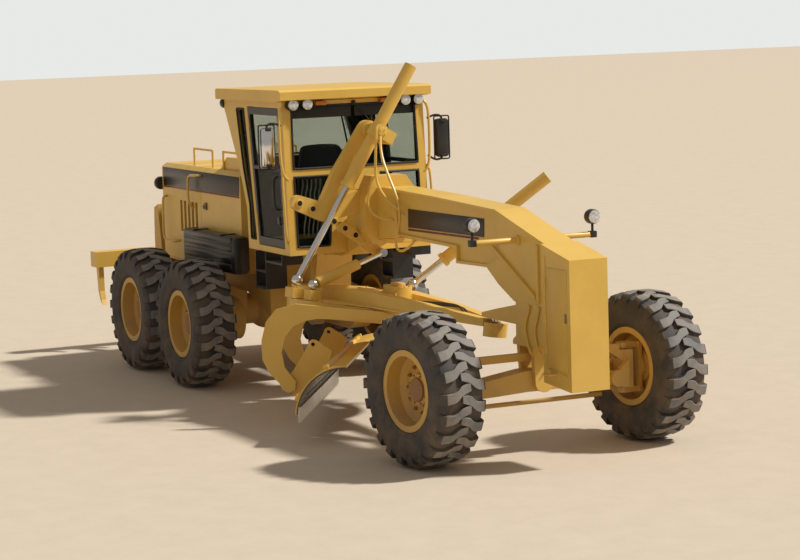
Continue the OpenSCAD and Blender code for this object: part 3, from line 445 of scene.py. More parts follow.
def settle(piece):  # the place goes into the mesh
    pick(piece)
    bpy.ops.object.transform_apply(location=True, rotation=True, scale=True)


def roundEdges(piece, width, steps=2, sharp=0.6):
    pick(piece)
    bpy.ops.object.mode_set(mode="EDIT")
    bpy.ops.mesh.select_all(action="DESELECT")
    bpy.ops.mesh.select_mode(type="EDGE")
    bpy.ops.mesh.edges_select_sharp(sharpness=sharp)
    bpy.ops.mesh.bevel(offset=width, segments=steps)
    bpy.ops.object.mode_set(mode="OBJECT")


def block(name, first, second, edge=0.004):  # two opposite corners, in any order
    a, b = (spot(*(choose(pair) for pair in zip(first, second))) for choose in (min, max))
    deselect()
    bpy.ops.mesh.primitive_cube_add(size=1, location=(a + b) / 2, scale=b - a)
    piece = made(name)
    settle(piece)
    roundEdges(piece, edge)
    return piece


def bar(name, start, end, radius, sides=24, edge=0.003):
    a, b = spot(*start), spot(*end)
    turn = (b - a).to_track_quat("Z", "Y").to_euler()
    deselect()
    bpy.ops.mesh.primitive_cylinder_add(vertices=sides, radius=radius, depth=(b - a).length, location=(a + b) / 2,
                                        rotation=turn)
    piece = made(name)
    settle(piece)
    roundEdges(piece, min(edge, radius / 3), 2, 1.0)
    return piece


def panel(name, corners, push, edge=0.002):  # flat outline, extruded by push
    deselect()
    bpy.ops.mesh.primitive_circle_add(vertices=len(corners), radius=1, fill_type="NGON")
    piece = made(name)
    for vertex, corner in zip(piece.data.vertices, corners):
        vertex.co = spot(*corner)
    startMesh()
    bpy.ops.mesh.extrude_region_move(TRANSFORM_OT_translate={"value": push})
    endMesh()
    roundEdges(piece, edge)
    return piece


def hose(name, points, radius, closed=False, sides=3):
    deselect()
    bpy.ops.curve.primitive_nurbs_path_add()
    piece = made(name)
    line = piece.data.splines[0]
    line.points.add(len(points) - len(line.points))
    for point, place in zip(line.points, points):
        point.co = (*spot(*place), 1)
    line.use_endpoint_u = not closed
    line.use_cyclic_u = closed
    line.order_u = 3 if closed else 4
    piece.data.bevel_depth = radius
    piece.data.bevel_resolution = sides
    piece.data.resolution_u = 6
    piece.data.use_fill_caps = not closed
    pick(piece)
    bpy.ops.object.convert(target="MESH")
    return bpy.context.object


def joined(name, pieces):
    pick(*pieces)
    if len(pieces) > 1:
        bpy.ops.object.join()
    return made(name)


def done(piece, body, finishName, slotName, smooth=35):
    pick(piece)
    bpy.ops.object.shade_smooth_by_angle(angle=math.radians(smooth))
    piece.data.materials.clear()
    piece.data.materials.append(materials[finishName])
    piece.location = (0, 0, 0)
    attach(piece, body)
    return piece


def finished(name, pieces, *settings):
    return done(joined(name, pieces), *settings)


def copied(piece, name, change):  # a copy with its own mesh, moved by a matrix
    twin = piece.copy()
    twin.data = piece.data.copy()
    twin.name = name
    bpy.context.scene.collection.objects.link(twin)
    twin.data.transform(change)
    if change.determinant() < 0:
        twin.data.flip_normals()
    return twin


sides = {"right": -1, "left": 1}

# ---- tyres

tyre = {
    "lugs": 22, "bevel": 0.004, "lugDepth": 0.945, "treadY": 1.1275, "kingY": 0.880,
    "steer": 7, "axleZ": 0.675, "wheelbase": 6.17, "gap": 1.523, "wornRadius": 0.657, "turns": 88
}


def makeCarcass():
    half = [(0.640, 0.0), (0.6385, 0.09), (0.631, 0.15), (0.612, 0.192), (0.585, 0.208), (0.560, 0.2195),
            (0.520, 0.2215), (0.482, 0.2222), (0.474, 0.2190), (0.430, 0.2120), (0.400, 0.2035), (0.394, 0.2060),
            (0.384, 0.2060), (0.376, 0.1960), (0.366, 0.1880), (0.358, 0.1668), (0.3187, 0.1500)]
    outline = half + [(r, -y) for r, y in reversed(half[1:])]
    deselect()
    bpy.ops.mesh.primitive_circle_add(vertices=len(outline), radius=1)
    carcass = bpy.context.object
    for vertex, (radius, along) in zip(carcass.data.vertices, outline):
        vertex.co = (radius, along, 0)
    startMesh()
    bpy.ops.mesh.spin(steps=tyre["turns"], angle=2 * math.pi, center=(0, 0, 0), axis=(0, 1, 0))
    endMesh(0.0003)
    return carcass


# stations along one lug: distance from the middle, radius, turn in pitches, width in pitches
lugPath = [(-0.045, 0.6735, 0.46, 0.34), (0.000, 0.6745, 0.42, 0.42), (0.045, 0.6742, 0.34, 0.44),
           (0.085, 0.6725, 0.14, 0.44), (0.120, 0.6700, 0.05, 0.46), (0.192, 0.6560, 0.00, 0.50),
           (0.2185, 0.6300, 0.00, 0.50), (0.2222, 0.5900, 0.00, 0.45), (0.2224, 0.5500, 0.02, 0.34)]


def makeLugs():
    deselect()
    bpy.ops.mesh.primitive_grid_add(x_subdivisions=len(lugPath) - 1, y_subdivisions=1, size=2)
    lugs = bpy.context.object
    step = 2 * math.pi / tyre["lugs"]
    last = len(lugPath) - 1
    for vertex in lugs.data.vertices:
        along, radius, turn, width = lugPath[round((vertex.co.x + 1) / 2 * last)]
        angle = (turn + vertex.co.y / 2 * width) * step
        vertex.co = (radius * math.cos(angle), along, radius * math.sin(angle))
    startMesh()
    bpy.ops.mesh.extrude_region_move(TRANSFORM_OT_translate={"value": (0, 0, 0)})
    deep = tyre["lugDepth"]
    bpy.ops.transform.resize(value=(deep, 0.97, deep), center_override=(0, 0, 0))
    bpy.ops.mesh.select_all(action="SELECT")
    bpy.ops.mesh.normals_make_consistent(inside=False)
    bpy.ops.mesh.select_all(action="DESELECT")
    bpy.ops.mesh.edges_select_sharp(sharpness=0.9)
    bpy.ops.mesh.bevel(offset=tyre["bevel"], segments=1)
    bpy.ops.mesh.select_all(action="SELECT")
    bpy.ops.mesh.spin(steps=tyre["lugs"], angle=2 * math.pi, dupli=True, center=(0, 0, 0), axis=(0, 1, 0))
    endMesh(0.0002)
    return lugs


def wheelPlaces():
    half = tyre["gap"] / 2
    for side, sign in sides.items():
        flip = Matrix.Scale(sign, 4, (0, 1, 0))
        seat = Matrix.Translation(spot(0, sign * tyre["treadY"], tyre["axleZ"])) @ flip
        yield "rear_" + side, Matrix.Translation((-tyre["wheelbase"] - half, 0, 0)) @ seat
        yield "mid_" + side, Matrix.Translation((-tyre["wheelbase"] + half, 0, 0)) @ seat
        king = Matrix.Translation(spot(0, sign * tyre["kingY"], 0))
        yield "front_" + side, king @ Matrix.Rotation(math.radians(tyre["steer"]), 4, "Z") @ king.inverted() @ seat


def makeTyres():
    carcass = makeCarcass()
    lugs = makeLugs()
    turn = Matrix.Rotation(math.pi / tyre["lugs"], 4, "Y") @ Matrix.Scale(-1, 4, (0, 1, 0))
    other = copied(lugs, "otherLugs", turn)
    first = joined("tyreModel", [lugs, other, carcass])
    worn = tyre["wornRadius"]
    wornFaces = [int(math.hypot(face.center.x, face.center.z) > worn) for face in first.data.polygons]
    for name, place in wheelPlaces():
        piece = copied(first, "tyreTread_" + name, place)
        done(piece, "wheel_" + name, "tyreRubber", "tyre_rubber", 30)
        piece.data.materials.append(materials["wornRubber"])
        for face, index in zip(piece.data.polygons, wornFaces):
            face.material_index = index
        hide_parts("tyre_" + name)
    bpy.data.objects.remove(first)


makeTyres()
print("tyres made")

# ---- wheel nuts and hub caps

hub = {
    "nuts": 12, "nutCircle": 0.205, "nutSize": 0.017, "capRadius": 0.105, "capBolts": 8, "boltCircle": 0.125,
    "discY": 0.008, "hubY": 0.060
}


def around(count, radius, start=0.0):  # places on a circle
    for index in range(count):
        angle = 2 * math.pi * (index + start) / count
        yield radius * math.cos(angle), radius * math.sin(angle)


def makeHubs():
    parts = []
    disc, face = hub["discY"], hub["hubY"]
    for across, z in around(hub["nuts"], hub["nutCircle"]):
        foot = (across - originBack, disc - 0.002, z)
        parts.append(bar("nut", foot, (foot[0], foot[1] + 0.026, z), hub["nutSize"], 6, 0.002))
        parts.append(bar("stud", foot, (foot[0], foot[1] + 0.036, z), hub["nutSize"] * 0.5, 10, 0.001))
    cap = ((-originBack, face + step, 0) for step in (-0.004, 0.022))
    parts.append(bar("cap", *cap, hub["capRadius"], 40, 0.008))
    for across, z in around(hub["capBolts"], hub["boltCircle"], 0.5):
        x = across - originBack
        parts.append(bar("capBolt", (x, face - 0.003, z), (x, face + 0.012, z), 0.009, 6, 0.001))
    model = joined("hubModel", parts)
    for name, place in wheelPlaces():
        # painted shade with dirt: the nuts and caps are dark brown, for the dirty hub in the shade of the rim
        done(copied(model, "hubNuts_" + name, place), "wheel_" + name, "dirtAndShadeBrown", "yellow_paint")
    bpy.data.objects.remove(model)


makeHubs()
print("hubs made")

# ---- hood: dark bands, red lines, rails, latches, ribbed side boxes, rear lamps, core

hood = {
    "side": 0.6, "bandLow": 1.985, "bandHigh": 2.19, "bandRear": -7.66, "bandFront": -5.335, "bandStep": 0.02,
    "lineLow": 0.022, "lineHigh": 0.004, "thick": 0.004, "lampY": 0.60, "lampZ": 2.0, "fins": 25,
    "finPitch": 0.03, "seams": (-6.62, -7.25), "railSize": 0.014,
    "railPath": [(-7.57, 0, 1.86), (-7.56, 0.05, 1.875), (-7.57, 0.055, 1.80), (-7.575, 0.055, 1.6),
        (-7.58, 0.055, 1.44), (-7.56, 0.055, 1.375), (-7.45, 0.055, 1.36), (-7.30, 0.055, 1.36),
        (-7.20, 0.05, 1.37), (-7.19, 0, 1.38)],
    "hookPath": [(-6.735, 0, 1.78), (-6.735, 0.06, 1.80), (-6.735, 0.06, 1.96), (-6.725, 0.06, 2.12),
        (-6.65, 0.06, 2.15), (-6.52, 0.06, 2.15), (-6.47, 0.05, 2.15), (-6.465, 0, 2.15)]
}
sideBox = {
    "rear": -6.62, "front": -5.09, "low": 1.175, "high": 1.575, "outer": 0.79, "ribIn": 0.775, "ribOut": 0.8,
    "ribTall": 0.07, "ribs": (1.215, 1.315, 1.415, 1.5), "straps": (-6.3, -5.5), "strapIn": 0.62,
    "strapWide": 0.06, "strapLow": 1.572, "strapHigh": 1.585
}


def beside(path, y, sign):  # a path given by its distance out from a side face
    return [(x, y + sign * away, z) for x, away, z in path]


def makeSideBox(side, sign, y):
    outer, ribIn, ribOut = (sign * sideBox[key] for key in ("outer", "ribIn", "ribOut"))
    tank = block("box", (sideBox["rear"], y, sideBox["low"]), (sideBox["front"], outer, sideBox["high"]), 0.045)
    ribs = [block("rib", (-6.55, ribIn, z), (-5.16, ribOut, z + sideBox["ribTall"]), 0.012) for z in sideBox["ribs"]]
    straps = [block("strap", (x, sign * sideBox["strapIn"], sideBox["strapLow"]),
                    (x + sideBox["strapWide"], ribOut, sideBox["strapHigh"]), 0.004) for x in sideBox["straps"]]
    tank = finished("sideBox_" + side, ribs + straps + [tank], "rear", "satinBlack", "black_paint")
    if side == "right":
        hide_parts("side_tanks")


def makeHood():
    low, high, rear, front = (hood[key] for key in ("bandLow", "bandHigh", "bandRear", "bandFront"))
    cut, lineLow, lineHigh = front - hood["bandStep"], low - hood["lineLow"], low - hood["lineHigh"]
    for side, sign in sides.items():
        y = sign * hood["side"]
        out = (0, sign * hood["thick"], 0)
        corners = [(rear, y, low), (cut, y, low), (front, y, high), (rear, y, high)]
        done(panel("hoodBand_" + side, corners, out, 0.001), "rear", "bandBlack", "black_paint")
        corners = [(rear, y, lineLow), (cut, y, lineLow), (cut, y, lineHigh), (rear, y, lineHigh)]
        done(panel("hoodLine_" + side, corners, out, 0.001), "rear", "bandRed", "black_paint")
        rail = hose("rail", beside(hood["railPath"], y, sign), hood["railSize"])
        hook = hose("hook", beside(hood["hookPath"], y, sign), hood["railSize"])
        finished("hoodHandle_" + side, [rail, hook], "rear", "machineYellow", "yellow_paint")
        plate = block("latch", (-6.40, y, 1.775), (-6.34, y + sign * 0.012, 1.85), 0.003)
        knob = bar("latchKnob", (-6.37, y + sign * 0.01, 1.81), (-6.37, y + sign * 0.03, 1.81), 0.02, 20)
        finished("hoodLatch_" + side, [knob, plate], "hood_door_" + side, "boltSteel", "bare_steel")
        makeSideBox(side, sign, y)
        lampY, lampZ = sign * hood["lampY"], hood["lampZ"]
        lampBack = bar("lampBack", (-7.70, sign * 0.56, lampZ), (-7.73, sign * 0.56, lampZ), 0.03, 20)
        shell = bar("lampShell", (-7.72, lampY, lampZ), (-7.80, lampY, lampZ), 0.075, 32, 0.02)
        finished("rearLamp_" + side, [lampBack, shell], "rear", "satinBlack", "black_paint")
        glass = bar("rearLampLens_" + side, (-7.797, lampY, lampZ), (-7.808, lampY, lampZ), 0.058, 32, 0.005)
        done(glass, "rear", "redPlastic", "cab_glass")
    core = block("radiatorCore", (-7.655, -0.45, 1.31), (-7.645, 0.45, 2.09), 0.002)
    rise = [hood["finPitch"] * index for index in range(hood["fins"])]
    fins = [block("fin", (-7.6605, -0.44, 1.33 + z), (-7.654, 0.44, 1.342 + z), 0.001) for z in rise]
    finished("radiatorCore", fins + [core], "rear", "coreGrey", "black_paint")
    cap = bar("fillCap", (-6.9, 0.25, 2.23), (-6.9, 0.25, 2.27), 0.05, 32, 0.008)
    seam = [block("hoodSeam", (x, -0.54, 2.232), (x + 0.012, 0.54, 2.238), 0.001) for x in hood["seams"]]
    finished("hoodTrim", seam + [cap], "rear", "frameYellow", "yellow_paint")


makeHood()
print("hood made")

# ---- cab: seals, sun strip, door fittings, rails, mirrors, lamps, wiper

cabTrim = {
    "upper": [(-0.69, 2.36), (0.69, 2.36), (0.68, 2.98), (-0.68, 2.98)],
    "lower": [(0.69, 1.58), (0.69, 2.28), (0.26, 2.28), (0.34, 1.58)],
    "side": [(-4.47, 1.61), (-4.69, 2.94), (-4.885, 2.94), (-4.75, 2.33), (-4.61, 1.96), (-4.60, 1.61)],
    "rear": [(-5.035, -0.55, 2.43), (-5.035, 0.55, 2.43), (-5.27, 0.55, 2.95), (-5.27, -0.55, 2.95)],
    "grip": [(-3.83, 0, 1.95), (-3.835, 0.05, 1.96), (-3.84, 0.055, 2.05), (-3.845, 0.055, 2.2),
        (-3.85, 0.05, 2.27), (-3.85, 0, 2.28)],
    "rail": [(-3.66, -0.02, 1.62), (-3.60, 0.03, 1.63), (-3.60, 0.04, 1.8), (-3.62, 0.04, 2.1),
        (-3.64, 0.04, 2.25), (-3.65, 0.03, 2.32), (-3.69, -0.02, 2.33)],
    "post": [(-3.70, 0.74, 3.0), (-3.66, 0.80, 2.98), (-3.66, 0.83, 2.9), (-3.655, 0.83, 2.7),
        (-3.65, 0.83, 2.4), (-3.64, 0.80, 2.28), (-3.655, 0.75, 2.26)]
}
mirror = {
    "tube": 0.011, "loopTube": 0.008, "loopX": -3.652, "middle": 0.967, "halfWidth": 0.072, "bowlEdge": 0.028,
    "bowlLow": 2.395, "bowlHigh": 2.79, "faceX": -3.672, "backX": -3.612, "clips": (2.40, 2.755),
    "loop": [(0.885, 2.375), (1.055, 2.375), (1.055, 2.815), (0.885, 2.815)],
    "glass": [(0.90, 2.40), (1.035, 2.40), (1.035, 2.785), (0.90, 2.785)],
    "highArm": [(-3.66, 0.81, 2.80), (-3.65, 0.88, 2.83), (-3.648, 0.92, 2.83), (-3.645, 0.96, 2.82),
        (-3.645, 0.97, 2.79)],
    "lowArm": [(-3.66, 0.81, 2.42), (-3.65, 0.88, 2.37), (-3.648, 0.92, 2.37), (-3.645, 0.96, 2.38),
        (-3.645, 0.97, 2.41)]
}
roofLamps = {
    "front": (-0.685, -0.531, 0.555, 0.70), "turn": (-0.376, 0.34), "rear": (-0.75, 0.75), "z": 3.0,
    "rearZ": 2.985
}


def frontX(z):  # the cab's front face leans back
    return cab["foot"] - cab["slope"] * (z - 1.5)


def loop(name, outline, radius, cut=0.06):  # closed strip round a window, with rounded corners
    points = []
    count = len(outline)
    for index, corner in enumerate(outline):
        here = Vector(corner)
        for other in (outline[index - 1], outline[(index + 1) % count]):
            there = Vector(other)
            points.append(tuple(here + (there - here).normalized() * cut))
        points.insert(-1, tuple(here))
    return hose(name, points, radius, True, 2)


def makeMirror(side, sign):
    arm, low = (hose("mirrorArm", beside(mirror[key], 0, sign), mirror["tube"]) for key in ("highArm", "lowArm"))
    ring = loop("mirrorFrame", [(mirror["loopX"], sign * y, z) for y, z in mirror["loop"]], mirror["loopTube"], 0.04)
    clips = [block("clip", (-3.648, sign * 0.965 - 0.03, z), (-3.60, sign * 0.965 + 0.03, z + 0.03), 0.006)
             for z in mirror["clips"]]
    arms = finished("mirrorArms_" + side, clips + [arm, low, ring], "front", "satinBlack", "black_paint")
    if side == "right":
        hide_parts("mirrors")
    face, middle, half = mirror["faceX"], sign * mirror["middle"], mirror["halfWidth"]
    glass = panel("mirrorGlass_" + side, [(face, sign * y, z) for y, z in mirror["glass"]], (-0.003, 0, 0), 0.001)
    done(glass, "front", "mirrorFace", "cab_glass")
    bowl = block("mirrorBack_" + side, (face, middle - half, mirror["bowlLow"]),
                 (mirror["backX"], middle + half, mirror["bowlHigh"]), mirror["bowlEdge"])
    done(bowl, "front", "mirrorSilver" if side == "right" else "satinBlack", "black_paint")


def makeCab():
    strips = [loop("seal", [(frontX(z) + 0.001, y, z) for y, z in cabTrim["upper"]], cab["seal"])]
    for sign in (-1, 1):
        strips.append(loop("seal", [(frontX(z) + 0.001, sign * y, z) for y, z in cabTrim["lower"]], cab["seal"]))
        strips.append(loop("seal", [(x, sign * 0.781, z) for x, z in cabTrim["side"]], cab["seal"], 0.04))
    strips.append(loop("seal", cabTrim["rear"], 0.010))
    finished("cabSeals", strips, "front", "sealRubber", "black_paint")
    for side, sign in sides.items():
        y = sign * cab["halfWidth"]
        low, high = ((frontX(z) - 0.02, z) for z in (2.86, 2.98))
        corners = [(low[0], sign * 0.02, low[1]), (low[0], sign * 0.68, low[1]),
                   (high[0], sign * 0.68, high[1]), (high[0], sign * 0.02, high[1])]
        done(panel("sunStrip", corners, (-0.004, 0, 0), 0.001), "front", "sealRubber", "black_paint")
        middle = block("doorBar", (-4.50, y - sign * 0.045, 2.335), (-3.765, y, 2.375), 0.005)
        grip = hose("doorGrip", beside(cabTrim["grip"], y, sign), 0.012)
        lock = block("doorLock", (-3.86, y, 1.80), (-3.80, y + sign * 0.02, 1.88), 0.006)
        finished("doorFittings_" + side, [middle, grip, lock], "cab_door_" + side, "satinBlack", "black_paint")
        rail = hose("cabRail", beside(cabTrim["rail"], y, sign), 0.013)
        post = hose("mirrorPost", beside(cabTrim["post"], 0, sign), 0.014)
        finished("cabRails_" + side, [rail, post], "front", "machineYellow", "yellow_paint")
        makeMirror(side, sign)
    shells, lenses, ambers = [], [], []
    z, rearZ = roofLamps["z"], roofLamps["rearZ"]
    for y in roofLamps["front"]:
        shells.append(bar("workShell", (-3.70, y, z), (-3.615, y, z), 0.060, 32, 0.012))
        lenses.append(bar("workLens", (-3.617, y, z), (-3.606, y, z), 0.054, 32, 0.006))
    for y in roofLamps["turn"]:
        ambers.append(block("turnLamp", (-3.69, y - 0.06, 2.985), (-3.615, y + 0.06, 3.028), 0.01))
    for y in roofLamps["rear"]:
        shells.append(bar("rearShell", (-5.31, y, rearZ), (-5.23, y, rearZ), 0.055, 32, 0.012))
        lenses.append(bar("rearLens", (-5.308, y, rearZ), (-5.318, y, rearZ), 0.048, 32, 0.006))
    finished("roofLamps", shells, "front", "satinBlack", "black_paint")
    finished("roofLampLenses", lenses, "front", "lampLens", "cab_glass")
    finished("turnLamps", ambers, "front", "amberPlastic", "cab_glass")
    arm = bar("wiperArm", (-3.672, 0.0, 3.0), (-3.652, 0.24, 2.72), 0.006, 12, 0.001)
    blade = bar("wiperBlade", (-3.650, 0.10, 2.62), (-3.655, 0.34, 2.83), 0.008, 12, 0.001)
    foot = bar("wiperFoot", (-3.70, 0.0, 3.0), (-3.662, 0.0, 3.0), 0.02, 20)
    finished("wiper", [arm, blade, foot], "front", "sealRubber", "black_paint")


makeCab()
print("cab trim made")

# ---- seat, levers and control rods

seat = {
    "halfWidth": 0.24, "low": 1.885, "high": 1.985, "backHalfWidth": 0.235, "backTurn": -77, "fill": 0.7,
    "puff": 0.22, "pinch": 0.05
}
control = {
    "levers": 4, "leverPitch": 0.032, "firstLever": 0.215, "rods": 5, "rodPitch": 0.048, "firstRod": 0.36,
    "rodSize": 0.007,
    "highRod": [(-3.80, -0.02, 2.24), (-3.795, -0.02, 2.15), (-3.80, 0, 2.12), (-3.80, 0, 2.08),
        (-3.80, 0, 2.03)],
    "lowRod": [(-3.80, -0.04, 1.90), (-3.795, -0.04, 1.84), (-3.80, -0.02, 1.78), (-3.80, -0.02, 1.72),
        (-3.81, -0.02, 1.66)]
}


def pillow(name, low, high, turn, cuts=5):
    a, b = spot(*low), spot(*high)
    deselect()
    bpy.ops.mesh.primitive_cube_add(size=1, scale=b - a)
    piece = made(name)
    settle(piece)
    startMesh()
    bpy.ops.mesh.subdivide(number_cuts=cuts)
    bpy.ops.object.mode_set(mode="OBJECT")
    size = b - a
    for vertex in piece.data.vertices:  # crown the faces, draw the sides in between the corners
        u, v = (2 * vertex.co[i] / size[i] for i in range(2))
        vertex.co.z *= 1 - seat["puff"] * (u * u + v * v) / 2
        vertex.co.x *= 1 - seat["pinch"] * v * v
        vertex.co.y *= 1 - seat["pinch"] * u * u
    finishing = piece.modifiers.new("soft", "SUBSURF")
    finishing.levels = finishing.render_levels = 2
    bpy.ops.object.modifier_apply(modifier="soft")
    piece.data.transform(Matrix.Translation((a + b) / 2) @ Matrix.Rotation(math.radians(turn), 4, "Y"))
    return piece


def makeSeat():
    half, backHalf = seat["halfWidth"], seat["backHalfWidth"]
    cushion = pillow("seatCushion", (-4.50, -half, seat["low"]), (-4.09, half, seat["high"]), 0)
    done(cushion, "front", "seatCloth", "seat_cloth", 80)
    back = pillow("seatBack", (-4.88, -backHalf, 2.205), (-4.30, backHalf, 2.300), seat["backTurn"])
    done(back, "front", "seatCloth", "seat_cloth", 80)
    post = bar("seatPost", (-4.38, 0, 1.561), (-4.38, 0, 1.86), 0.088, 40, 0.01)
    pan = block("seatPan", (-4.55, -0.22, 1.845), (-4.12, 0.22, 1.884), 0.012)
    base = finished("seatBase", [post, pan], "front", "cabTrim", "seat_cloth")
    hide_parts("seat")
    levers, rods = [], []
    for sign in (-1, 1):
        for index in range(control["levers"]):
            y = sign * (control["firstLever"] + control["leverPitch"] * index)
            levers.append(bar("lever", (-3.90, y * 0.85, 1.76), (-3.98, y, 2.20), 0.007, 12, 0.001))
            levers.append(bar("leverKnob", (-3.98, y, 2.195), (-3.986, y, 2.235), 0.014, 16, 0.005))
        for index in range(control["rods"]):
            y = sign * (control["firstRod"] + control["rodPitch"] * index)
            for key in ("highRod", "lowRod"):
                rods.append(hose("rod", beside(control[key], y, sign), control["rodSize"]))
        levers.append(block("leverBox", (-3.95, sign * 0.19, 1.70), (-3.83, sign * 0.30, 1.77), 0.01))
    finished("controlLevers", levers, "front", "cabTrim", "black_paint")
    # painted highlight: the rods are pale grey, partly for the bright glint of the levers through the front glass
    finished("controlRods", rods, "front", "leverGrey", "black_paint")


makeSeat()
print("seat and levers made")

# ---- front frame: dark band, red line, lamp bars, nose ribs and hoses, box fittings

frontTrim = {
    "bandY": 0.1205, "bandThick": 0.006, "noseY": 0.1495, "barZ": 1.89, "lampY": 0.60, "lampZ": 2.047,
    "boxY": 0.1796, "hoseOut": 0.158, "hoseSize": 0.012,
    "band": [(-2.24, 1.842), (-0.69, 1.862), (-0.68, 2.03), (-2.23, 2.02)],
    "line": [(-2.24, 1.812), (-0.80, 1.832), (-0.80, 1.850), (-2.24, 1.830)],
    "rib": [(-0.505, 1.805), (-0.485, 1.83), (0.33, 1.425), (0.31, 1.395)],
    "firstHose": [(0.19, 1.335), (0.18, 1.29), (0.10, 1.18), (0.10, 1.10), (0.15, 0.97), (0.20, 0.90)],
    "secondHose": [(0.36, 1.335), (0.35, 1.29), (0.275, 1.16), (0.27, 1.10), (0.31, 0.98), (0.33, 0.94)],
    "hoseEnds": [(0.22, 0.13, 0.89), (0.34, 0.13, 0.93)],
    "hinges": (0.95, 1.22, 1.50), "bolts": (1.42, 1.50, 1.58, 1.66, 1.74, 1.82)
}


def onSide(outline, y):  # a flat outline stood on a side face
    return [(x, y, z) for x, z in outline]


def makeNose(side, sign):
    noseY = sign * frontTrim["noseY"]
    rib = panel("noseRib", onSide(frontTrim["rib"], noseY), (0, sign * 0.03, 0), 0.003)
    strip = block("noseStrip", (0.33, noseY, 1.365), (0.372, noseY + sign * 0.022, 1.875), 0.004)
    finished("noseRib_" + side, [strip, rib], "front", "machineYellow", "yellow_paint")
    y = sign * frontTrim["hoseOut"]
    lines = []
    for key, (endX, endY, endZ) in zip(("firstHose", "secondHose"), frontTrim["hoseEnds"]):
        lines.append(hose("noseHose", onSide(frontTrim[key], y) + [(endX, sign * endY, endZ)], frontTrim["hoseSize"]))
    finished("noseHoses_" + side, lines, "front", "machineYellow", "yellow_paint")
    boxY = sign * frontTrim["boxY"]
    seam = [block("boxPanel", (0.535, boxY, 0.835), (0.893, boxY + sign * 0.0045, 1.70), 0.003)]
    hingeY = boxY + sign * 0.008
    for z in frontTrim["hinges"]:
        seam.append(bar("boxHinge", (0.527, hingeY, z), (0.527, hingeY, z + 0.09), 0.010, 16))
    seam.append(block("boxStep", (0.60, boxY, 0.79), (0.72, boxY + sign * 0.09, 0.802), 0.003))
    finished("boxFittings_" + side, seam, "front", "machineYellow", "yellow_paint")
    latch = block("boxLatch_" + side, (0.862, boxY, 1.25), (0.886, boxY + sign * 0.014, 1.33), 0.003)
    done(latch, "front", "boltSteel", "bare_steel")


def makeFrontTrim():
    barZ, lampZ = frontTrim["barZ"], frontTrim["lampZ"]
    for side, sign in sides.items():
        y = sign * frontTrim["bandY"]
        out = (0, sign * frontTrim["bandThick"], 0)
        done(panel("beamBand_" + side, onSide(frontTrim["band"], y), out, 0.001), "front", "bandBlack", "black_paint")
        done(panel("beamLine_" + side, onSide(frontTrim["line"], y), out, 0.001), "front", "bandRed", "black_paint")
        tube = bar("lampTube", (0, sign * 0.1503, barZ), (0, sign * 0.615, barZ), 0.026, 28)
        collar = bar("lampCollar", (0, sign * 0.1503, barZ), (0, sign * 0.175, barZ), 0.042, 28)
        finished("lampBar_" + side, [tube, collar], "front", "machineYellow", "yellow_paint")
        lampY = sign * frontTrim["lampY"]
        stem = bar("lampStem", (0, lampY, barZ), (0, lampY, 1.985), 0.012, 16)
        clamp = block("lampClamp", (-0.032, lampY - 0.03, 1.862), (0.032, lampY + 0.03, 1.92), 0.006)
        shell = bar("lampShell", (-0.045, lampY, lampZ), (0.042, lampY, lampZ), 0.066, 36, 0.018)
        lens = bar("headLampLens_" + side, (0.036, lampY, lampZ), (0.047, lampY, lampZ), 0.057, 36, 0.005)
        housing = finished("headLamp_" + side, [stem, clamp, shell], "front", "satinBlack", "black_paint")
        done(lens, "front", "lampLens", "cab_glass")
        if side == "right":
            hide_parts("front_lamps")
        makeNose(side, sign)
    edging = [bar("noseBolt", (0.437, sign * 0.160, z), (0.447, sign * 0.160, z), 0.007, 6, 0.001)
              for sign in (-1, 1) for z in frontTrim["bolts"]]
    finished("noseBolts", edging, "front", "boltSteel", "bare_steel")


makeFrontTrim()
print("front trim made")

# ---- lift linkage: bosses whose holes are dark discs of painted shade, pin caps, hoses

linkage = {
    "face": -3.0195, "bossSize": 0.040, "holeSize": 0.026, "capSize": 0.048, "capBolts": 4, "capCircle": 0.033,
    "holes": [(-0.773, 2.013), (-0.551, 1.876), (-0.437, 1.80), (-0.327, 1.726), (-0.91, 2.075)],
    "pins": [(-2.86, -0.145, 2.738), (-2.823, 1.066, 1.768)],
    "hoses": [
        (0.013, [(-2.66, -0.23, 2.80), (-2.64, -0.25, 2.62), (-2.70, -0.24, 2.42), (-2.71, -0.23, 2.25),
        (-2.55, -0.21, 2.10), (-2.36, -0.19, 2.03), (-2.27, -0.17, 1.99), (-2.26, -0.155, 1.96)]),
        (0.013, [(-2.64, -0.20, 2.70), (-2.58, -0.24, 2.56), (-2.45, -0.24, 2.38), (-2.32, -0.23, 2.22),
        (-2.24, -0.21, 2.06), (-2.25, -0.20, 1.92), (-2.33, -0.20, 1.78), (-2.38, -0.20, 1.68),
        (-2.33, -0.20, 1.61), (-2.20, -0.19, 1.62), (-2.08, -0.17, 1.69), (-2.04, -0.155, 1.73)]),
        (0.011, [(-2.72, -0.26, 2.30), (-2.76, -0.28, 2.20), (-2.80, -0.30, 2.05), (-2.72, -0.27, 1.93),
        (-2.60, -0.22, 1.90), (-2.50, -0.155, 1.90)])]
}


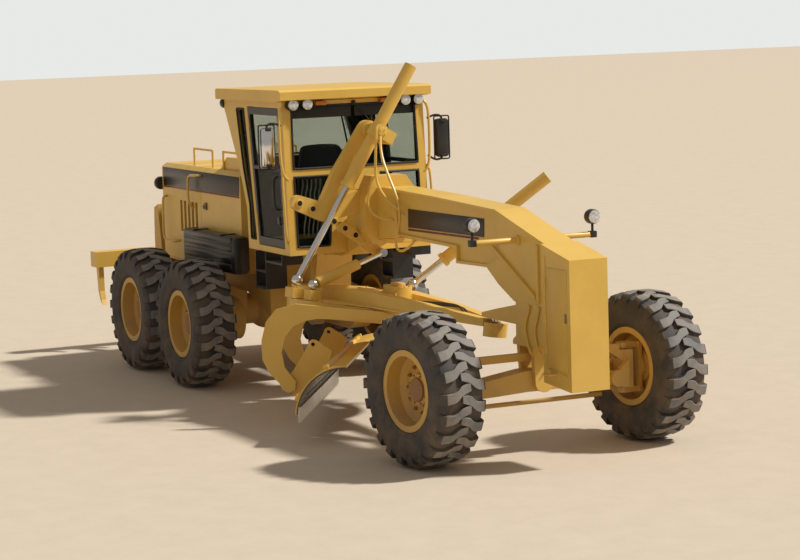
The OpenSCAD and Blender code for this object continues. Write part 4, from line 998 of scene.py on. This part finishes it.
def makeLinkTrim():
    rings, dark = [], []
    face = linkage["face"]
    for y, z in linkage["holes"]:
        rings.append(bar("boss", (face - 0.002, y, z), (face + 0.010, y, z), linkage["bossSize"], 32, 0.003))
        # painted shade: a near black disc in each boss stands for the shaded inside of the hole
        dark.append(bar("hole", (face + 0.002, y, z), (face + 0.0108, y, z), linkage["holeSize"], 28, 0.0005))
    caps = []
    for x, y, z in linkage["pins"]:
        caps.append(bar("pinCap", (x + 0.143, y, z), (x + 0.158, y, z), linkage["capSize"], 28, 0.004))
        for across, up in around(linkage["capBolts"], linkage["capCircle"], 0.5):
            foot, tip = ((x + step, y + across, z + up) for step in (0.157, 0.165))
            caps.append(bar("capBolt", foot, tip, 0.007, 6, 0.001))
    finished("linkBosses", rings + caps, "front", "machineYellow", "yellow_paint")
    finished("linkHoles", dark, "front", "boltHole", "black_paint")
    hoses = [hose("liftHose", path, radius) for radius, path in linkage["hoses"]]
    finished("liftHoses", hoses, "front", "machineYellow", "yellow_paint")


makeLinkTrim()
print("linkage trim made")

# ---- blade: bolts of the cutting edge, in two rows round the blade's own curve

bladeTrim = {
    "pivotX": -0.400, "pivotZ": -1.0, "tilt": 38, "up": 0.343, "forward": 0.3066, "curve": 0.412,
    "rows": (159.5448, 171.4502), "perRow": 24, "reach": 1.75, "sunk": 0.006, "proud": 0.004, "size": 0.012
}


def local(x, y, z):  # a place in the circle's or drawbar's own frame, for the helpers
    return (x - originBack, y, z)


def makeBladeTrim():
    tilt = math.radians(bladeTrim["tilt"])
    up, forward = bladeTrim["up"], bladeTrim["forward"]
    centreX = bladeTrim["pivotX"] + up * math.sin(tilt) + forward * math.cos(tilt)
    centreZ = bladeTrim["pivotZ"] + up * math.cos(tilt) - forward * math.sin(tilt)
    bolts = []
    for row in bladeTrim["rows"]:
        outX, outZ = math.cos(math.radians(row)), math.sin(math.radians(row))
        deep, high = (bladeTrim["curve"] + step for step in (-bladeTrim["sunk"], bladeTrim["proud"]))
        for index in range(bladeTrim["perRow"]):
            y = (2 * index / (bladeTrim["perRow"] - 1) - 1) * bladeTrim["reach"]
            foot = local(centreX + deep * outX, y, centreZ + deep * outZ)
            tip = local(centreX + high * outX, y, centreZ + high * outZ)
            bolts.append(bar("edgeBolt", tip, foot, bladeTrim["size"], 10, 0.001))
    piece = joined("edgeBolts", bolts)
    piece.data.transform(bladePlace())
    done(piece, "blade", "boltSteel", "bare_steel")


makeBladeTrim()

# ---- drawbar: pad bolts, the circle drive's cap, ball socket bolts, hoses

drawbarTrim = {
    "padX": (-0.55, -0.35, -0.15), "padY": 0.37, "driveX": 0.545, "driveBolts": 10, "driveCircle": 0.115,
    "driveLow": 0.208, "socketX": -0.196, "socketY": 0.735, "socketSpread": 0.055, "hoseSize": 0.011,
    "hoses": [[(0.42, -0.16, 0.02), (0.42, -0.16, 0.06), (0.6, -0.2, 0.08), (0.9, -0.16, 0.10),
        (1.3, -0.10, 0.13), (1.6, -0.07, 0.15), (1.7, -0.05, 0.13), (1.75, -0.05, 0.07)],
        [(0.42, -0.10, 0.02), (0.42, -0.10, 0.05), (0.66, -0.14, 0.07), (0.95, -0.10, 0.08),
        (1.3, -0.05, 0.11), (1.6, -0.02, 0.13), (1.7, -0.01, 0.12), (1.75, -0.01, 0.07)]]
}


def makeDrawbarTrim():
    parts = []
    drive, low = drawbarTrim["driveX"], drawbarTrim["driveLow"]
    for y in (-drawbarTrim["padY"], drawbarTrim["padY"]):
        for x in drawbarTrim["padX"]:
            parts.append(bar("padBolt", local(x, y, 0.094), local(x, y, 0.108), 0.014, 6, 0.002))
    for across, y in around(drawbarTrim["driveBolts"], drawbarTrim["driveCircle"]):
        x = drive + across
        parts.append(bar("driveBolt", local(x, y, low), local(x, y, 0.220), 0.010, 6, 0.001))
    parts.append(bar("driveCap", local(drive, 0, low), local(drive, 0, 0.245), 0.07, 32, 0.008))
    for sign in (-1, 1):
        y = sign * drawbarTrim["socketY"]
        for spread in (-drawbarTrim["socketSpread"], drawbarTrim["socketSpread"]):
            x = drawbarTrim["socketX"] + spread
            parts.append(bar("socketBolt", local(x, y, 0.096), local(x, y, 0.108), 0.011, 6, 0.002))
    hoses = [hose("drawbarHose", [local(*place) for place in path], drawbarTrim["hoseSize"])
             for path in drawbarTrim["hoses"]]
    for piece, finishName, slotName in ((joined("drawbarBolts", parts), "frameYellow", "yellow_paint"),
                                        (joined("drawbarHoses", hoses), "blackHose", "black_paint")):
        piece.data.transform(bladePlace(False))
        done(piece, "drawbar", finishName, slotName)


makeDrawbarTrim()
print("blade and drawbar trim made")
